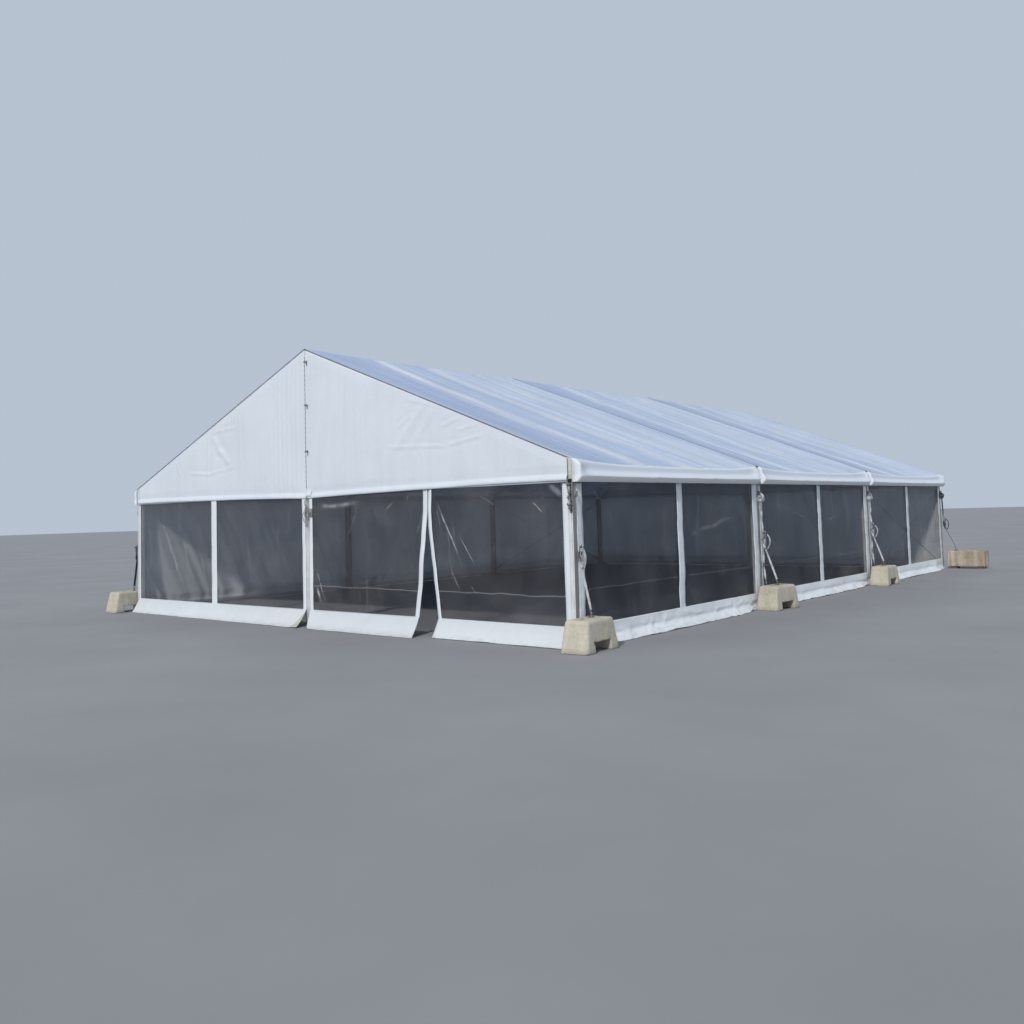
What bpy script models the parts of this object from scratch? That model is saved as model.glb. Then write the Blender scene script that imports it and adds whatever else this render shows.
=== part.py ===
"""Marquee tent, 10 m wide and 15 m long: aluminium portal frames in three bays under PVC sheets.

Metres, +Z up. X runs across the gable, Y along the ridge, and the front gable faces -Y.
The origin is the middle of the footprint, on the ground.
"""

import math

import bmesh
import bpy
from mathutils import Matrix, Vector

# Plan and height of the tent
TENT_WIDTH = 10.0
BAY_LENGTH = 5.0
BAY_COUNT = 3
EAVE_HEIGHT = 2.26
RIDGE_HEIGHT = 4.24
WALL_TOP_Z = 2.0

# Aluminium frame
LEG_WIDTH = 0.12
LEG_THICK = 0.07
LEG_TOP_Z = 1.98
GROOVE_WIDTH = 0.009
GROOVE_DEPTH = 0.011
GROOVE_INSET = 0.014
RAFTER_DEPTH = 0.12
KNEE_REACH = 0.36
KNEE_STEP = 0.05
APEX_REACH = 0.34
APEX_FLAT = 0.18
APEX_DROP = 0.11
PURLIN_WIDTH = 0.06
PURLIN_HEIGHT = 0.08
EAVE_BEAM_WIDTH = 0.05
EAVE_BEAM_HEIGHT = 0.10
EAVE_BEAM_Z = 2.0
POST_WIDTH = 0.10
RAIL_THICK = 0.05
RAIL_HEIGHT = 0.06
RAIL_Z = 1.965
BASE_LENGTH = 0.26
BASE_WIDTH = 0.20
BASE_THICK = 0.012

# Wind bracing in the last bay
CABLE_RADIUS = 0.006
CABLE_TOP_Z = 1.86
CABLE_FOOT_Z = 0.14
CABLE_LUG = 0.06
CABLE_LUG_THICK = 0.01
CABLE_RING = 0.045

# Sheets, films and how they lie
SHEET = 0.004
FILM = 0.003
SEAT = 0.0003
SLOPE_SAG = 0.07
RIDGE_SAG = 0.025
SLOPE_PANELS = 4
ROOF_SLIT = 0.012
ROOF_END_LAP = 0.012
ROOF_SEAT_LAP = 0.01
ROOF_EDGE_REACH = 0.025
FASCIA_REACH = 0.15
FASCIA_BOTTOM_Z = 1.965
GABLE_EDGE_INSET = 0.06
GABLE_TOP_INSET = 0.02
GABLE_SEAM = 0.004
GABLE_BOTTOM_EDGE_Z = 1.985
GABLE_BOTTOM_MIDDLE_Z = 1.925
HEM_HEIGHT = 0.09
HEM_BULGE = 0.018
EDGE_STRIP = 0.12
MIDDLE_STRIP = 0.14
TOP_BAND = 0.06
SKIRT_Z = 0.25
SKIRT_REACH = 0.16
FRONT_SKIRT_REACH = 0.24
SKIRT_END_REACH = 0.04
SKIRT_SPREAD = 0.3
FRONT_SKIRT_SPREAD = 1.2
SKIRT_CORNER = 0.08
SKIRT_FLOOR_GAP = 0.001
FILM_LAP = 0.015
FILM_LEG_GAP = 0.01
POST_LAP = 0.01

# Entrance between the two front curtains
CURTAIN_MEET_X = 2.592
CURTAIN_GAP = 0.012
LEFT_CURTAIN_SWEEP = 0.21
RIGHT_CURTAIN_SWEEP = 0.14
CURTAIN_SKIRT_SWEEP = 0.07

# Ballast blocks and their ratchet straps
BLOCK_LENGTH = 0.74
BLOCK_WIDTH = 0.38
BLOCK_HEIGHT = 0.375
BLOCK_LENGTH_TAPER = 0.16
BLOCK_WIDTH_TAPER = 0.06
BLOCK_ROUND = 0.035
FORK_SLOT_LENGTH = 0.36
FORK_SLOT_HEIGHT = 0.12
BLOCK_OFFSET = 0.26
FRONT_BLOCK_SHIFT = 0.09
BLOCK_TURN = {("right", 1): 4, ("right", 2): -5}
BACK_BLOCK_LENGTH = 0.82
BACK_BLOCK_WIDTH = 0.40
BACK_BLOCK_HEIGHT = 0.42
BACK_BLOCK_FOOT = 0.05
BACK_BLOCK_FOOT_INSET = 0.05
BACK_BLOCK_FOOT_LENGTH = 0.14
BACK_BLOCK_GAP = 0.08
BACK_BLOCK_SHIFT = 0.27
BACK_STRAP_SHIFT = 0.15
STRAP_WIDTH = 0.05
STRAP_THICK = 0.004
STRAP_TOP_Z = 1.80
STRAP_RATCHET_Z = 1.08
RATCHET_HEIGHT = 0.16
RATCHET_DEPTH = 0.05
RATCHET_OUT = 0.06
LUG_REACH = 0.045
LUG_HEIGHT = 0.06
LUG_THICK = 0.03
STRAP_TOP_OUT = 0.024

# Worked out from the sizes above
HALF_WIDTH = TENT_WIDTH / 2
LENGTH = BAY_LENGTH * BAY_COUNT
SLOPE = (RIDGE_HEIGHT - EAVE_HEIGHT) / HALF_WIDTH
PITCH_COS = 1 / math.sqrt(1 + SLOPE * SLOPE)
FRAME_Y = [BAY_LENGTH * (i - BAY_COUNT / 2) for i in range(BAY_COUNT + 1)]
SIDES = (("left", -1), ("right", 1))
ENDS = (("front", -1), ("back", 1))
MARQUEE = "marquee_tent"


def clear_scene():
    for item in list(bpy.data.objects):
        bpy.data.objects.remove(item, do_unlink=True)
    for name in (MARQUEE, "cutters"):
        group = bpy.data.collections.new(name)
        bpy.context.scene.collection.children.link(group)


def make_material(name, colour, roughness, metallic=0.0, alpha=1.0):
    """A plain Principled finish."""
    material = bpy.data.materials.new(name)
    material.use_nodes = True
    shader = material.node_tree.nodes["Principled BSDF"]
    shader.inputs["Base Color"].default_value = (*colour, 1.0)
    shader.inputs["Roughness"].default_value = roughness
    shader.inputs["Metallic"].default_value = metallic
    shader.inputs["Alpha"].default_value = alpha
    return material


def add_object(name, mesh, material):
    item = bpy.data.objects.new(name, mesh)
    mesh.materials.append(material)
    bpy.data.collections[MARQUEE].objects.link(item)
    return item


def boolean(item, mesh, operation):
    """Cut a mesh out of an object or join it on, through a hidden helper object."""
    helper = bpy.data.objects.new(f"{item.name}_{operation.lower()}", mesh)
    helper.hide_render = True
    helper.display_type = "WIRE"
    bpy.data.collections["cutters"].objects.link(helper)
    modifier = item.modifiers.new(operation.title(), "BOOLEAN")
    modifier.operation = operation
    modifier.object = helper


def box(low, high):
    """A box mesh between two corners."""
    low = Vector(low)
    high = Vector(high)
    mesh = bpy.data.meshes.new("box")
    shape = bmesh.new()
    scale = Matrix.Diagonal((*(high - low), 1.0))
    bmesh.ops.create_cube(shape, size=1.0, matrix=Matrix.Translation((low + high) / 2) @ scale)
    shape.to_mesh(mesh)
    shape.free()
    return mesh


def plate(outline, thickness, matrix):
    """A flat outline, extruded by half its thickness each way and moved by the matrix."""
    curve = bpy.data.curves.new("outline", "CURVE")
    curve.dimensions = "2D"
    curve.fill_mode = "BOTH"
    curve.extrude = thickness / 2
    spline = curve.splines.new("POLY")
    spline.points.add(len(outline) - 1)
    for point, (u, v) in zip(spline.points, outline):
        point.co = (u, v, 0, 1)
    spline.use_cyclic_u = True
    drawn = bpy.data.objects.new("outline", curve)
    bpy.data.collections["cutters"].objects.link(drawn)
    mesh = bpy.data.meshes.new_from_object(drawn.evaluated_get(bpy.context.evaluated_depsgraph_get()))
    bpy.data.objects.remove(drawn, do_unlink=True)
    shape = bmesh.new()
    shape.from_mesh(mesh)
    bmesh.ops.remove_doubles(shape, verts=shape.verts, dist=0.00001)
    bmesh.ops.transform(shape, matrix=matrix, verts=shape.verts)
    bmesh.ops.recalc_face_normals(shape, faces=shape.faces)
    shape.to_mesh(mesh)
    shape.free()
    return mesh


def upright(y):
    """Turns an outline drawn in X and Y so that it stands in X and Z, at this Y."""
    return Matrix.Translation((0, y, 0)) @ Matrix.Rotation(math.pi / 2, 4, "X")


def membrane(name, columns, rows, place, outward, material, thickness=SHEET, is_open=None):
    """A sheet from a grid whose point (i, j) goes to place(i, j), thickened away from outward."""
    shape = bmesh.new()
    bmesh.ops.create_grid(shape, x_segments=columns - 1, y_segments=rows - 1, size=0.5)
    cell = {}
    for face in shape.faces:
        middle = face.calc_center_median()
        i = int((middle.x + 0.5) * (columns - 1))
        j = int((middle.y + 0.5) * (rows - 1))
        cell[face] = (i, j)
    if is_open:
        gone = [face for face, (i, j) in cell.items() if is_open(i, j)]
        bmesh.ops.delete(shape, geom=gone, context="FACES")
    for vert in shape.verts:
        i = round((vert.co.x + 0.5) * (columns - 1))
        j = round((vert.co.y + 0.5) * (rows - 1))
        vert.co = place(i, j)
    shape.normal_update()
    shape.faces.ensure_lookup_table()
    if shape.faces[0].normal.dot(Vector(outward)) < 0:
        bmesh.ops.reverse_faces(shape, faces=shape.faces)
    mesh = bpy.data.meshes.new(name)
    shape.to_mesh(mesh)
    shape.free()
    item = add_object(name, mesh, material)
    shell = item.modifiers.new("Thickness", "SOLIDIFY")
    shell.thickness = thickness
    shell.offset = -1
    shell.use_even_offset = True
    return item


def mix(low, high, share):
    return low + (high - low) * share


def sheet_z(x):
    """Outer face of the roof sheet at a frame."""
    return RIDGE_HEIGHT - SLOPE * abs(x)


def rafter_top_z(x):
    return sheet_z(x) - (SHEET + SEAT) / PITCH_COS


def rafter_under_z(x):
    return rafter_top_z(x) - RAFTER_DEPTH / PITCH_COS


def purlin_top_z():
    """The purlin's top corners lie just under the sheet in mid bay, where it is lowest and steepest."""
    steeper = (SLOPE_SAG - RIDGE_SAG) / ((HALF_WIDTH + ROOF_EDGE_REACH) / SLOPE_PANELS)
    return rafter_top_z(PURLIN_WIDTH / 2) - RIDGE_SAG - steeper * PURLIN_WIDTH / 2 - SEAT


def apex_bottom_z():
    return rafter_under_z(0) - APEX_DROP


def leg_outline():
    """Plan of a leg: a box profile with a sheet groove near each corner of its two broad faces."""
    near = LEG_WIDTH / 2 - GROOVE_INSET
    far = near - GROOVE_WIDTH
    face = LEG_THICK / 2
    floor = face - GROOVE_DEPTH
    half = [(-LEG_WIDTH / 2, -face), (-near, -face), (-near, -floor), (-far, -floor), (-far, -face)]
    half += [(far, -face), (far, -floor), (near, -floor), (near, -face), (LEG_WIDTH / 2, -face)]
    return half + [(-x, -y) for x, y in half]


def build_legs(metal):
    """Eight legs, each with its base plate and the lug that its strap hooks on."""
    for side, sign in SIDES:
        for i, y in enumerate(FRAME_Y):
            x = sign * (HALF_WIDTH - LEG_WIDTH / 2)
            stand = Matrix.Translation((x, y, LEG_TOP_Z / 2))
            leg = add_object(f"leg_{side}_{i + 1}", plate(leg_outline(), LEG_TOP_Z, stand), metal)
            if i == 0:
                base_low, base_high = y - LEG_THICK / 2, y - LEG_THICK / 2 + BASE_WIDTH
            elif i == BAY_COUNT:
                base_low, base_high = y + LEG_THICK / 2 - BASE_WIDTH, y + LEG_THICK / 2
            else:
                base_low, base_high = y - BASE_WIDTH / 2, y + BASE_WIDTH / 2
            inner, outer = sorted((sign * (HALF_WIDTH - BASE_LENGTH), sign * HALF_WIDTH))
            boolean(leg, box((inner, base_low, 0), (outer, base_high, BASE_THICK)), "UNION")
            inner, outer = sorted((sign * (HALF_WIDTH - LEG_WIDTH / 2), sign * (HALF_WIDTH + LUG_REACH)))
            lug_low = (inner, y - LUG_THICK / 2, STRAP_TOP_Z)
            lug_high = (outer, y + LUG_THICK / 2, STRAP_TOP_Z + LUG_HEIGHT)
            boolean(leg, box(lug_low, lug_high), "UNION")


def portal_outline():
    """Rafter pair with its knees on the legs and the ridge joint, notched for the purlin."""
    inner = HALF_WIDTH - LEG_WIDTH
    foot = LEG_TOP_Z + SEAT
    notch = PURLIN_WIDTH / 2 + SEAT
    half = [
        (notch, purlin_top_z() - PURLIN_HEIGHT - SEAT),
        (notch, rafter_top_z(notch)),
        (HALF_WIDTH, rafter_top_z(HALF_WIDTH)),
        (HALF_WIDTH, foot),
        (inner, foot),
        (inner, foot + KNEE_STEP),
        (inner - KNEE_REACH, rafter_under_z(inner - KNEE_REACH)),
        (APEX_REACH, rafter_under_z(APEX_REACH)),
        (APEX_FLAT, apex_bottom_z()),
    ]
    return half + [(-x, z) for x, z in reversed(half)]


def build_portals(metal):
    for i, y in enumerate(FRAME_Y):
        add_object(f"rafters_{i + 1}", plate(portal_outline(), LEG_THICK, upright(y)), metal)


def build_purlins(metal):
    """Ridge purlin in the notches of the ridge joints, and an eave beam outside each row of legs."""
    end = LENGTH / 2 + LEG_THICK / 2
    top = purlin_top_z()
    low = (-PURLIN_WIDTH / 2, -end, top - PURLIN_HEIGHT)
    add_object("ridge_purlin", box(low, (PURLIN_WIDTH / 2, end, top)), metal)
    for side, sign in SIDES:
        inner = HALF_WIDTH + SEAT
        low_x, high_x = sorted((sign * inner, sign * (inner + EAVE_BEAM_WIDTH)))
        low = (low_x, -end, EAVE_BEAM_Z)
        high = (high_x, end, EAVE_BEAM_Z + EAVE_BEAM_HEIGHT)
        add_object(f"eave_beam_{side}", box(low, high), metal)


def build_gable_frames(metal):
    """Centre post from the ground to the ridge joint, with a rail to each corner leg."""
    for end, sign in ENDS:
        y = sign * LENGTH / 2
        half = LEG_THICK / 2
        post = box((-POST_WIDTH / 2, y - half, 0), (POST_WIDTH / 2, y + half, apex_bottom_z() - SEAT))
        frame = add_object(f"gable_frame_{end}", post, metal)
        reach = HALF_WIDTH - LEG_WIDTH - SEAT
        low = (-reach, y - RAIL_THICK / 2, RAIL_Z)
        high = (reach, y + RAIL_THICK / 2, RAIL_Z + RAIL_HEIGHT)
        boolean(frame, box(low, high), "UNION")


def rod(start, end, radius):
    """A round bar between two points."""
    start = Vector(start)
    end = Vector(end)
    mesh = bpy.data.meshes.new("rod")
    shape = bmesh.new()
    turn = (end - start).to_track_quat("Z", "Y").to_matrix().to_4x4()
    place = Matrix.Translation((start + end) / 2) @ turn
    bmesh.ops.create_cone(shape, cap_ends=True, segments=8, radius1=radius, radius2=radius,
                          depth=(end - start).length, matrix=place)
    shape.to_mesh(mesh)
    shape.free()
    return mesh


def build_braces(cable):
    """Crossed cables in the last bay of both long sides, held together by a ring where they cross."""
    near = FRAME_Y[-2] + LEG_THICK / 2 + SEAT
    far = FRAME_Y[-1] - LEG_THICK / 2 - SEAT
    for side, sign in SIDES:
        x = sign * (HALF_WIDTH - LEG_WIDTH / 2)
        lug_near = near + CABLE_LUG_THICK / 2
        lug_far = far - CABLE_LUG_THICK / 2
        falling = rod((x, lug_near, CABLE_TOP_Z), (x, lug_far, CABLE_FOOT_Z), CABLE_RADIUS)
        brace = add_object(f"wind_brace_{side}", falling, cable)
        boolean(brace, rod((x, lug_near, CABLE_FOOT_Z), (x, lug_far, CABLE_TOP_Z), CABLE_RADIUS), "UNION")
        middle = Vector((x, (near + far) / 2, (CABLE_TOP_Z + CABLE_FOOT_Z) / 2))
        half_ring = Vector((CABLE_RADIUS * 1.5, 0, 0))
        boolean(brace, rod(middle - half_ring, middle + half_ring, CABLE_RING), "UNION")
        half = CABLE_LUG / 2
        for low_y, high_y in ((near, near + CABLE_LUG_THICK), (far - CABLE_LUG_THICK, far)):
            for z in (CABLE_TOP_Z, CABLE_FOOT_Z):
                lug = box((x - half, low_y, z - half), (x + half, high_y, z + half))
                boolean(brace, lug, "UNION")


def roof_section():
    """Half of the roof's outer line from ridge to fascia, as (x, z, how far it sags between frames)."""
    points = []
    for i in range(SLOPE_PANELS + 1):
        x = (HALF_WIDTH + ROOF_EDGE_REACH) * i / SLOPE_PANELS
        points.append((x, sheet_z(x), SLOPE_SAG if i else RIDGE_SAG))
    drop = sheet_z(HALF_WIDTH + ROOF_EDGE_REACH) - FASCIA_BOTTOM_Z
    fascia = ((0.34, 0.78, 0.8), (0.62, 0.58, 0.4), (0.94, 0.36, 0.1), (1, 0.2, 0), (0.92, 0, 0))
    for out, up, share in fascia:
        points.append((HALF_WIDTH + FASCIA_REACH * out, FASCIA_BOTTOM_Z + drop * up, SLOPE_SAG * share))
    return points


def roof_stations(start, end, seat_start, seat_end):
    """Places along the ridge from one edge of a roof sheet to the other, as (y, share of the sag)."""
    stations = [(start, 0), (seat_start, 0)]
    for share in (0.06, 0.14, 0.3, 0.5, 0.7, 0.86, 0.94):
        stations.append((mix(seat_start, seat_end, share), 1 - abs(2 * share - 1) ** 4))
    return stations + [(seat_end, 0), (end, 0)]


def build_roof(pvc):
    """One sheet for each bay over both slopes, with the fascia that hangs over the eave beams."""
    right = roof_section()
    section = [(-x, z, sag) for x, z, sag in reversed(right[1:])] + right
    for i in range(BAY_COUNT):
        low, high = FRAME_Y[i], FRAME_Y[i + 1]
        start = low + ROOF_SLIT / 2 if i else low - LEG_THICK / 2 - ROOF_END_LAP
        end = high - ROOF_SLIT / 2 if i < BAY_COUNT - 1 else high + LEG_THICK / 2 + ROOF_END_LAP
        seat = LEG_THICK / 2 + ROOF_SEAT_LAP
        stations = roof_stations(start, end, low + seat, high - seat)

        def place(a, b):
            x, z, sag = section[a]
            y, share = stations[b]
            return x, y, z - sag * share

        membrane(f"roof_sheet_{i + 1}", len(section), len(stations), place, (-1, 0, 0.2), pvc)


def end_y(sign, out):
    """Y of a plane in front of a gable, this far out from the faces of the end frame's legs."""
    return sign * (LENGTH / 2 + LEG_THICK / 2 + out)


def build_gable_sheets(pvc):
    """Two triangular halves on each gable, laced at the post, with a rolled hem at the bottom."""
    plane = SEAT + SHEET
    over_wall = plane + SEAT + SHEET
    for end, end_sign in ENDS:
        for side, sign in SIDES:
            shares = (0, 0.12, 0.25, 0.4, 0.55, 0.7, 0.85, 1)

            def place(i, j):
                x = mix(GABLE_SEAM, HALF_WIDTH - GABLE_EDGE_INSET, shares[i])
                dip = (1 - shares[i]) ** 2
                low = mix(GABLE_BOTTOM_EDGE_Z, GABLE_BOTTOM_MIDDLE_Z, dip)
                hem = low + HEM_HEIGHT
                top = rafter_top_z(x) - GABLE_TOP_INSET
                z = (low, low + HEM_HEIGHT * 0.25, low + HEM_HEIGHT * 0.7, hem, (hem + top) / 2, top)[j]
                out = over_wall + (0.35, 1, 0.8)[j] * HEM_BULGE if j < 3 else plane
                return sign * x, end_y(end_sign, out), z

            membrane(f"gable_sheet_{end}_{side}", len(shares), 6, place, (0, end_sign, 0), pvc)


def skirt_profile(reach):
    """Heights of the skirt's rows and how far each one lies out from the wall."""
    floor = SHEET + SKIRT_FLOOR_GAP
    return [(SKIRT_Z * 0.62, reach * 0.14), (SKIRT_Z * 0.22, reach * 0.42), (floor, reach * 0.62), (floor, reach)]


def skirt_reach(along, narrow, reach):
    """The skirt lies far out along the bay and is gathered in over each narrow stretch.

    narrow lists each such stretch as (where it ends, which way the skirt opens, over what length).
    """
    open_share = min([1] + [max(0, way * (along - edge) / spread) for edge, way, spread in narrow])
    return mix(SKIRT_END_REACH, reach, open_share)


def wall_columns(start, end, narrow, windowed):
    """Places along a wall, and the pairs of columns between which a clear pane shows."""
    middle = (start + end) / 2
    places = {start, end, start + EDGE_STRIP, end - EDGE_STRIP}
    places |= {middle - MIDDLE_STRIP / 2, middle + MIDDLE_STRIP / 2}
    for edge, way, spread in narrow:
        places |= {edge, edge + way * spread}
    columns = sorted(places)
    panes = []
    if windowed:
        panes = [(start + EDGE_STRIP, middle - MIDDLE_STRIP / 2), (middle + MIDDLE_STRIP / 2, end - EDGE_STRIP)]
    return columns, panes


def wall(name, to_world, outward, start, end, top, reach, narrow, windowed, corners, pvc):
    """A wall sheet with its skirt. to_world(along, out, z) gives the world point."""
    columns, panes = wall_columns(start, end, narrow, windowed)
    upper = [top, top - TOP_BAND, mix(top - TOP_BAND, SKIRT_Z, 0.5), SKIRT_Z]

    def place(i, j):
        along = columns[i]
        if j < len(upper):
            return to_world(along, SEAT + SHEET, upper[j])
        row = j - len(upper)
        z, out = skirt_profile(skirt_reach(along, narrow, reach))[row]
        flare = min(1, (row + 1) / 3)
        if i == 0:
            along -= corners[0] * flare
        if i == len(columns) - 1:
            along += corners[1] * flare
        return to_world(along, SEAT + SHEET + out, z)

    def is_pane(i, j):
        middle = (columns[i] + columns[i + 1]) / 2
        return j in (1, 2) and any(low < middle < high for low, high in panes)

    membrane(name, len(columns), len(upper) + 4, place, outward, pvc, is_open=is_pane if windowed else None)


def film(name, to_world, outward, start, end, top, clear):
    """One clear film behind the panes of a wall."""
    def place(i, j):
        return to_world((start, end)[i], 0, (top - FILM_LEG_GAP, SKIRT_Z - FILM_LAP)[j])

    membrane(name, 2, 2, place, outward, clear, thickness=FILM)


def build_side_walls(pvc, clear):
    """Windowed sheets in the bays on the right, plain ones on the left."""
    for side, sign in SIDES:
        def to_world(along, out, z):
            return sign * (HALF_WIDTH - FILM - SEAT - 2 * SHEET + out), along, z

        for i in range(BAY_COUNT):
            start = FRAME_Y[i] + LEG_THICK / 2 + SEAT
            end = FRAME_Y[i + 1] - LEG_THICK / 2 - SEAT
            outward = (sign, 0, 0)
            windowed = side == "right"
            beside = BLOCK_LENGTH / 2
            narrow = [(start + beside, 1, SKIRT_SPREAD), (end - beside, -1, SKIRT_SPREAD)]
            name = f"wall_{side}_{i + 1}"
            wall(name, to_world, outward, start, end, WALL_TOP_Z, SKIRT_REACH, narrow, windowed, (0, 0), pvc)
            if windowed:
                inset = FILM_LEG_GAP
                film(f"window_{side}_{i + 1}", to_world, outward, start + inset, end - inset, WALL_TOP_Z, clear)


def end_world(end_sign):
    def to_world(along, out, z):
        return along, end_y(end_sign, out), z
    return to_world


def build_end_walls(pvc, clear):
    """Plain sheets on both halves of the back gable and a windowed one on the front's left half."""
    outer = HALF_WIDTH - GABLE_EDGE_INSET
    inner = POST_WIDTH / 2 - POST_LAP
    for end, end_sign in ENDS:
        for side, sign in SIDES:
            if (end, side) == ("front", "right"):
                continue
            start, stop = sorted((sign * inner, sign * outer))
            corners = (SKIRT_CORNER, 0) if sign < 0 else (0, SKIRT_CORNER)
            windowed = end == "front"
            reach = FRONT_SKIRT_REACH if windowed else SKIRT_REACH
            to_world = end_world(end_sign)
            outward = (0, end_sign, 0)
            name = f"wall_{end}_{side}"
            narrow = [(sign * (outer - EDGE_STRIP), -sign, FRONT_SKIRT_SPREAD)]
            wall(name, to_world, outward, start, stop, WALL_TOP_Z, reach, narrow, windowed, corners, pvc)
            if windowed:
                low = start + LEG_WIDTH - GABLE_EDGE_INSET + FILM_LEG_GAP
                high = stop - POST_LAP - FILM_LEG_GAP
                film(f"window_{end}_{side}", to_world, outward, low, high, WALL_TOP_Z, clear)


def curtain(side, fixed, sweep, pvc, clear):
    """One front curtain with its clear pane. Its free edge swings away from the other one's."""
    away = -1 if side == "left" else 1
    meet = CURTAIN_MEET_X + away * CURTAIN_GAP / 2
    to_world = end_world(-1)
    upper = [WALL_TOP_Z, WALL_TOP_Z - TOP_BAND, mix(WALL_TOP_Z - TOP_BAND, SKIRT_Z, 0.5), SKIRT_Z]
    shares = (0, 0.045, 0.25, 0.75, 0.955, 1)
    narrow = [(fixed - EDGE_STRIP, -1, FRONT_SKIRT_SPREAD)] if side == "right" else []

    def free_edge(z):
        drop = min(1, (WALL_TOP_Z - z) / (WALL_TOP_Z - SKIRT_Z))
        low = max(0, 1 - z / SKIRT_Z)
        return meet + away * (sweep * drop ** 1.7 + CURTAIN_SKIRT_SWEEP * low)

    def place(i, j):
        share = shares[i]
        if j < len(upper):
            return to_world(mix(fixed, free_edge(upper[j]), share), SEAT + SHEET, upper[j])
        row = j - len(upper)
        z, out = skirt_profile(skirt_reach(mix(fixed, meet, share), narrow, FRONT_SKIRT_REACH))[row]
        return to_world(mix(fixed, free_edge(z), share), SEAT + SHEET + out, z)

    def is_pane(i, j):
        return j in (1, 2) and 0 < i < len(shares) - 2

    outward = (0, -1, 0)
    membrane(f"curtain_{side}", len(shares), len(upper) + 4, place, outward, pvc, is_open=is_pane)

    inset = -away * FILM_LEG_GAP
    if side == "right":
        beside = HALF_WIDTH - LEG_WIDTH - FILM_LEG_GAP
    else:
        beside = POST_WIDTH / 2 + FILM_LEG_GAP

    def place_film(i, j):
        z = (WALL_TOP_Z - FILM_LEG_GAP, mix(WALL_TOP_Z, SKIRT_Z, 0.5), SKIRT_Z - FILM_LAP)[j]
        return to_world((beside, free_edge(z) - inset)[i], 0, z)

    membrane(f"curtain_window_{side}", 2, 3, place_film, outward, clear, thickness=FILM)


def build_curtains(pvc, clear):
    """The two curtains of the entrance, which meet at the top and part towards the ground."""
    curtain("left", POST_WIDTH / 2 - POST_LAP, LEFT_CURTAIN_SWEEP, pvc, clear)
    curtain("right", HALF_WIDTH - GABLE_EDGE_INSET, RIGHT_CURTAIN_SWEEP, pvc, clear)


def tapered_block():
    """A concrete block that narrows upwards, with rounded upright edges, standing on z = 0."""
    mesh = box((-BLOCK_WIDTH / 2, -BLOCK_LENGTH / 2, 0), (BLOCK_WIDTH / 2, BLOCK_LENGTH / 2, BLOCK_HEIGHT))
    shape = bmesh.new()
    shape.from_mesh(mesh)
    for vert in shape.verts:
        if vert.co.z > BLOCK_HEIGHT / 2:
            vert.co.x *= 1 - BLOCK_WIDTH_TAPER / BLOCK_WIDTH
            vert.co.y *= 1 - BLOCK_LENGTH_TAPER / BLOCK_LENGTH
    edges = [edge for edge in shape.edges if max(vert.co.z for vert in edge.verts) > BLOCK_HEIGHT / 2]
    bmesh.ops.bevel(shape, geom=edges, offset=BLOCK_ROUND, segments=3, profile=0.5, affect="EDGES")
    shape.to_mesh(mesh)
    shape.free()
    return mesh


def back_block():
    """A plain block on two feet that stand back from its sides."""
    half_length = BACK_BLOCK_LENGTH / 2
    half_width = BACK_BLOCK_WIDTH / 2
    return box((-half_length, -half_width, BACK_BLOCK_FOOT), (half_length, half_width, BACK_BLOCK_HEIGHT))


def build_ballast(concrete, dark_concrete):
    """A block outside every leg: tapered with a fork slot, but plain and crosswise at the back corners.

    BLOCK_TURN is how far some of them stand turned, in degrees.
    """
    for side, sign in SIDES:
        for i, y in enumerate(FRAME_Y):
            name = f"ballast_{side}_{i + 1}"
            if i < BAY_COUNT:
                shift = -FRONT_BLOCK_SHIFT if i == 0 else 0
                turn = Matrix.Rotation(math.radians(BLOCK_TURN.get((side, i + 1), 0)), 4, "Z")
                place = Matrix.Translation((sign * (HALF_WIDTH + BLOCK_OFFSET), y + shift, 0)) @ turn
                block = add_object(name, tapered_block(), concrete)
                slot_low = (-BLOCK_WIDTH, -FORK_SLOT_LENGTH / 2, -FORK_SLOT_HEIGHT)
                slot = box(slot_low, (BLOCK_WIDTH, FORK_SLOT_LENGTH / 2, FORK_SLOT_HEIGHT))
                block.data.transform(place)
                slot.transform(place)
                boolean(block, slot, "DIFFERENCE")
                continue
            x = sign * (HALF_WIDTH + BACK_BLOCK_GAP + BACK_BLOCK_LENGTH / 2)
            place = Matrix.Translation((x, y + BACK_BLOCK_SHIFT, 0))
            block = add_object(name, back_block(), dark_concrete)
            block.data.transform(place)
            for end in (-1, 1):
                centre = end * (BACK_BLOCK_LENGTH / 2 - BACK_BLOCK_FOOT_INSET - BACK_BLOCK_FOOT_LENGTH / 2)
                half = BACK_BLOCK_WIDTH / 2 - BACK_BLOCK_FOOT_INSET
                low = (centre - BACK_BLOCK_FOOT_LENGTH / 2, -half, 0)
                high = (centre + BACK_BLOCK_FOOT_LENGTH / 2, half, BACK_BLOCK_FOOT * 2)
                foot = box(low, high)
                foot.transform(place)
                boolean(block, foot, "UNION")


def strap_outline(out, down):
    """Side view of a strap from its hook to the block, with its ratchet: distance out, height."""
    half = STRAP_THICK / 2
    deep = RATCHET_DEPTH / 2
    ratchet_top = STRAP_RATCHET_Z + RATCHET_HEIGHT / 2
    ratchet_low = STRAP_RATCHET_Z - RATCHET_HEIGHT / 2
    centre = RATCHET_OUT
    hook = STRAP_TOP_Z - SEAT
    inner = [(STRAP_TOP_OUT - half, hook), (centre - half, ratchet_top), (centre - deep, ratchet_top - deep),
             (centre - deep, ratchet_low + deep), (centre - half, ratchet_low), (out - half, down + SEAT)]
    outer = [(STRAP_TOP_OUT + half, hook), (centre + half, ratchet_top), (centre + deep, ratchet_top - deep),
             (centre + deep, ratchet_low + deep), (centre + half, ratchet_low), (out + half, down + SEAT)]
    return inner + list(reversed(outer))


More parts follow.
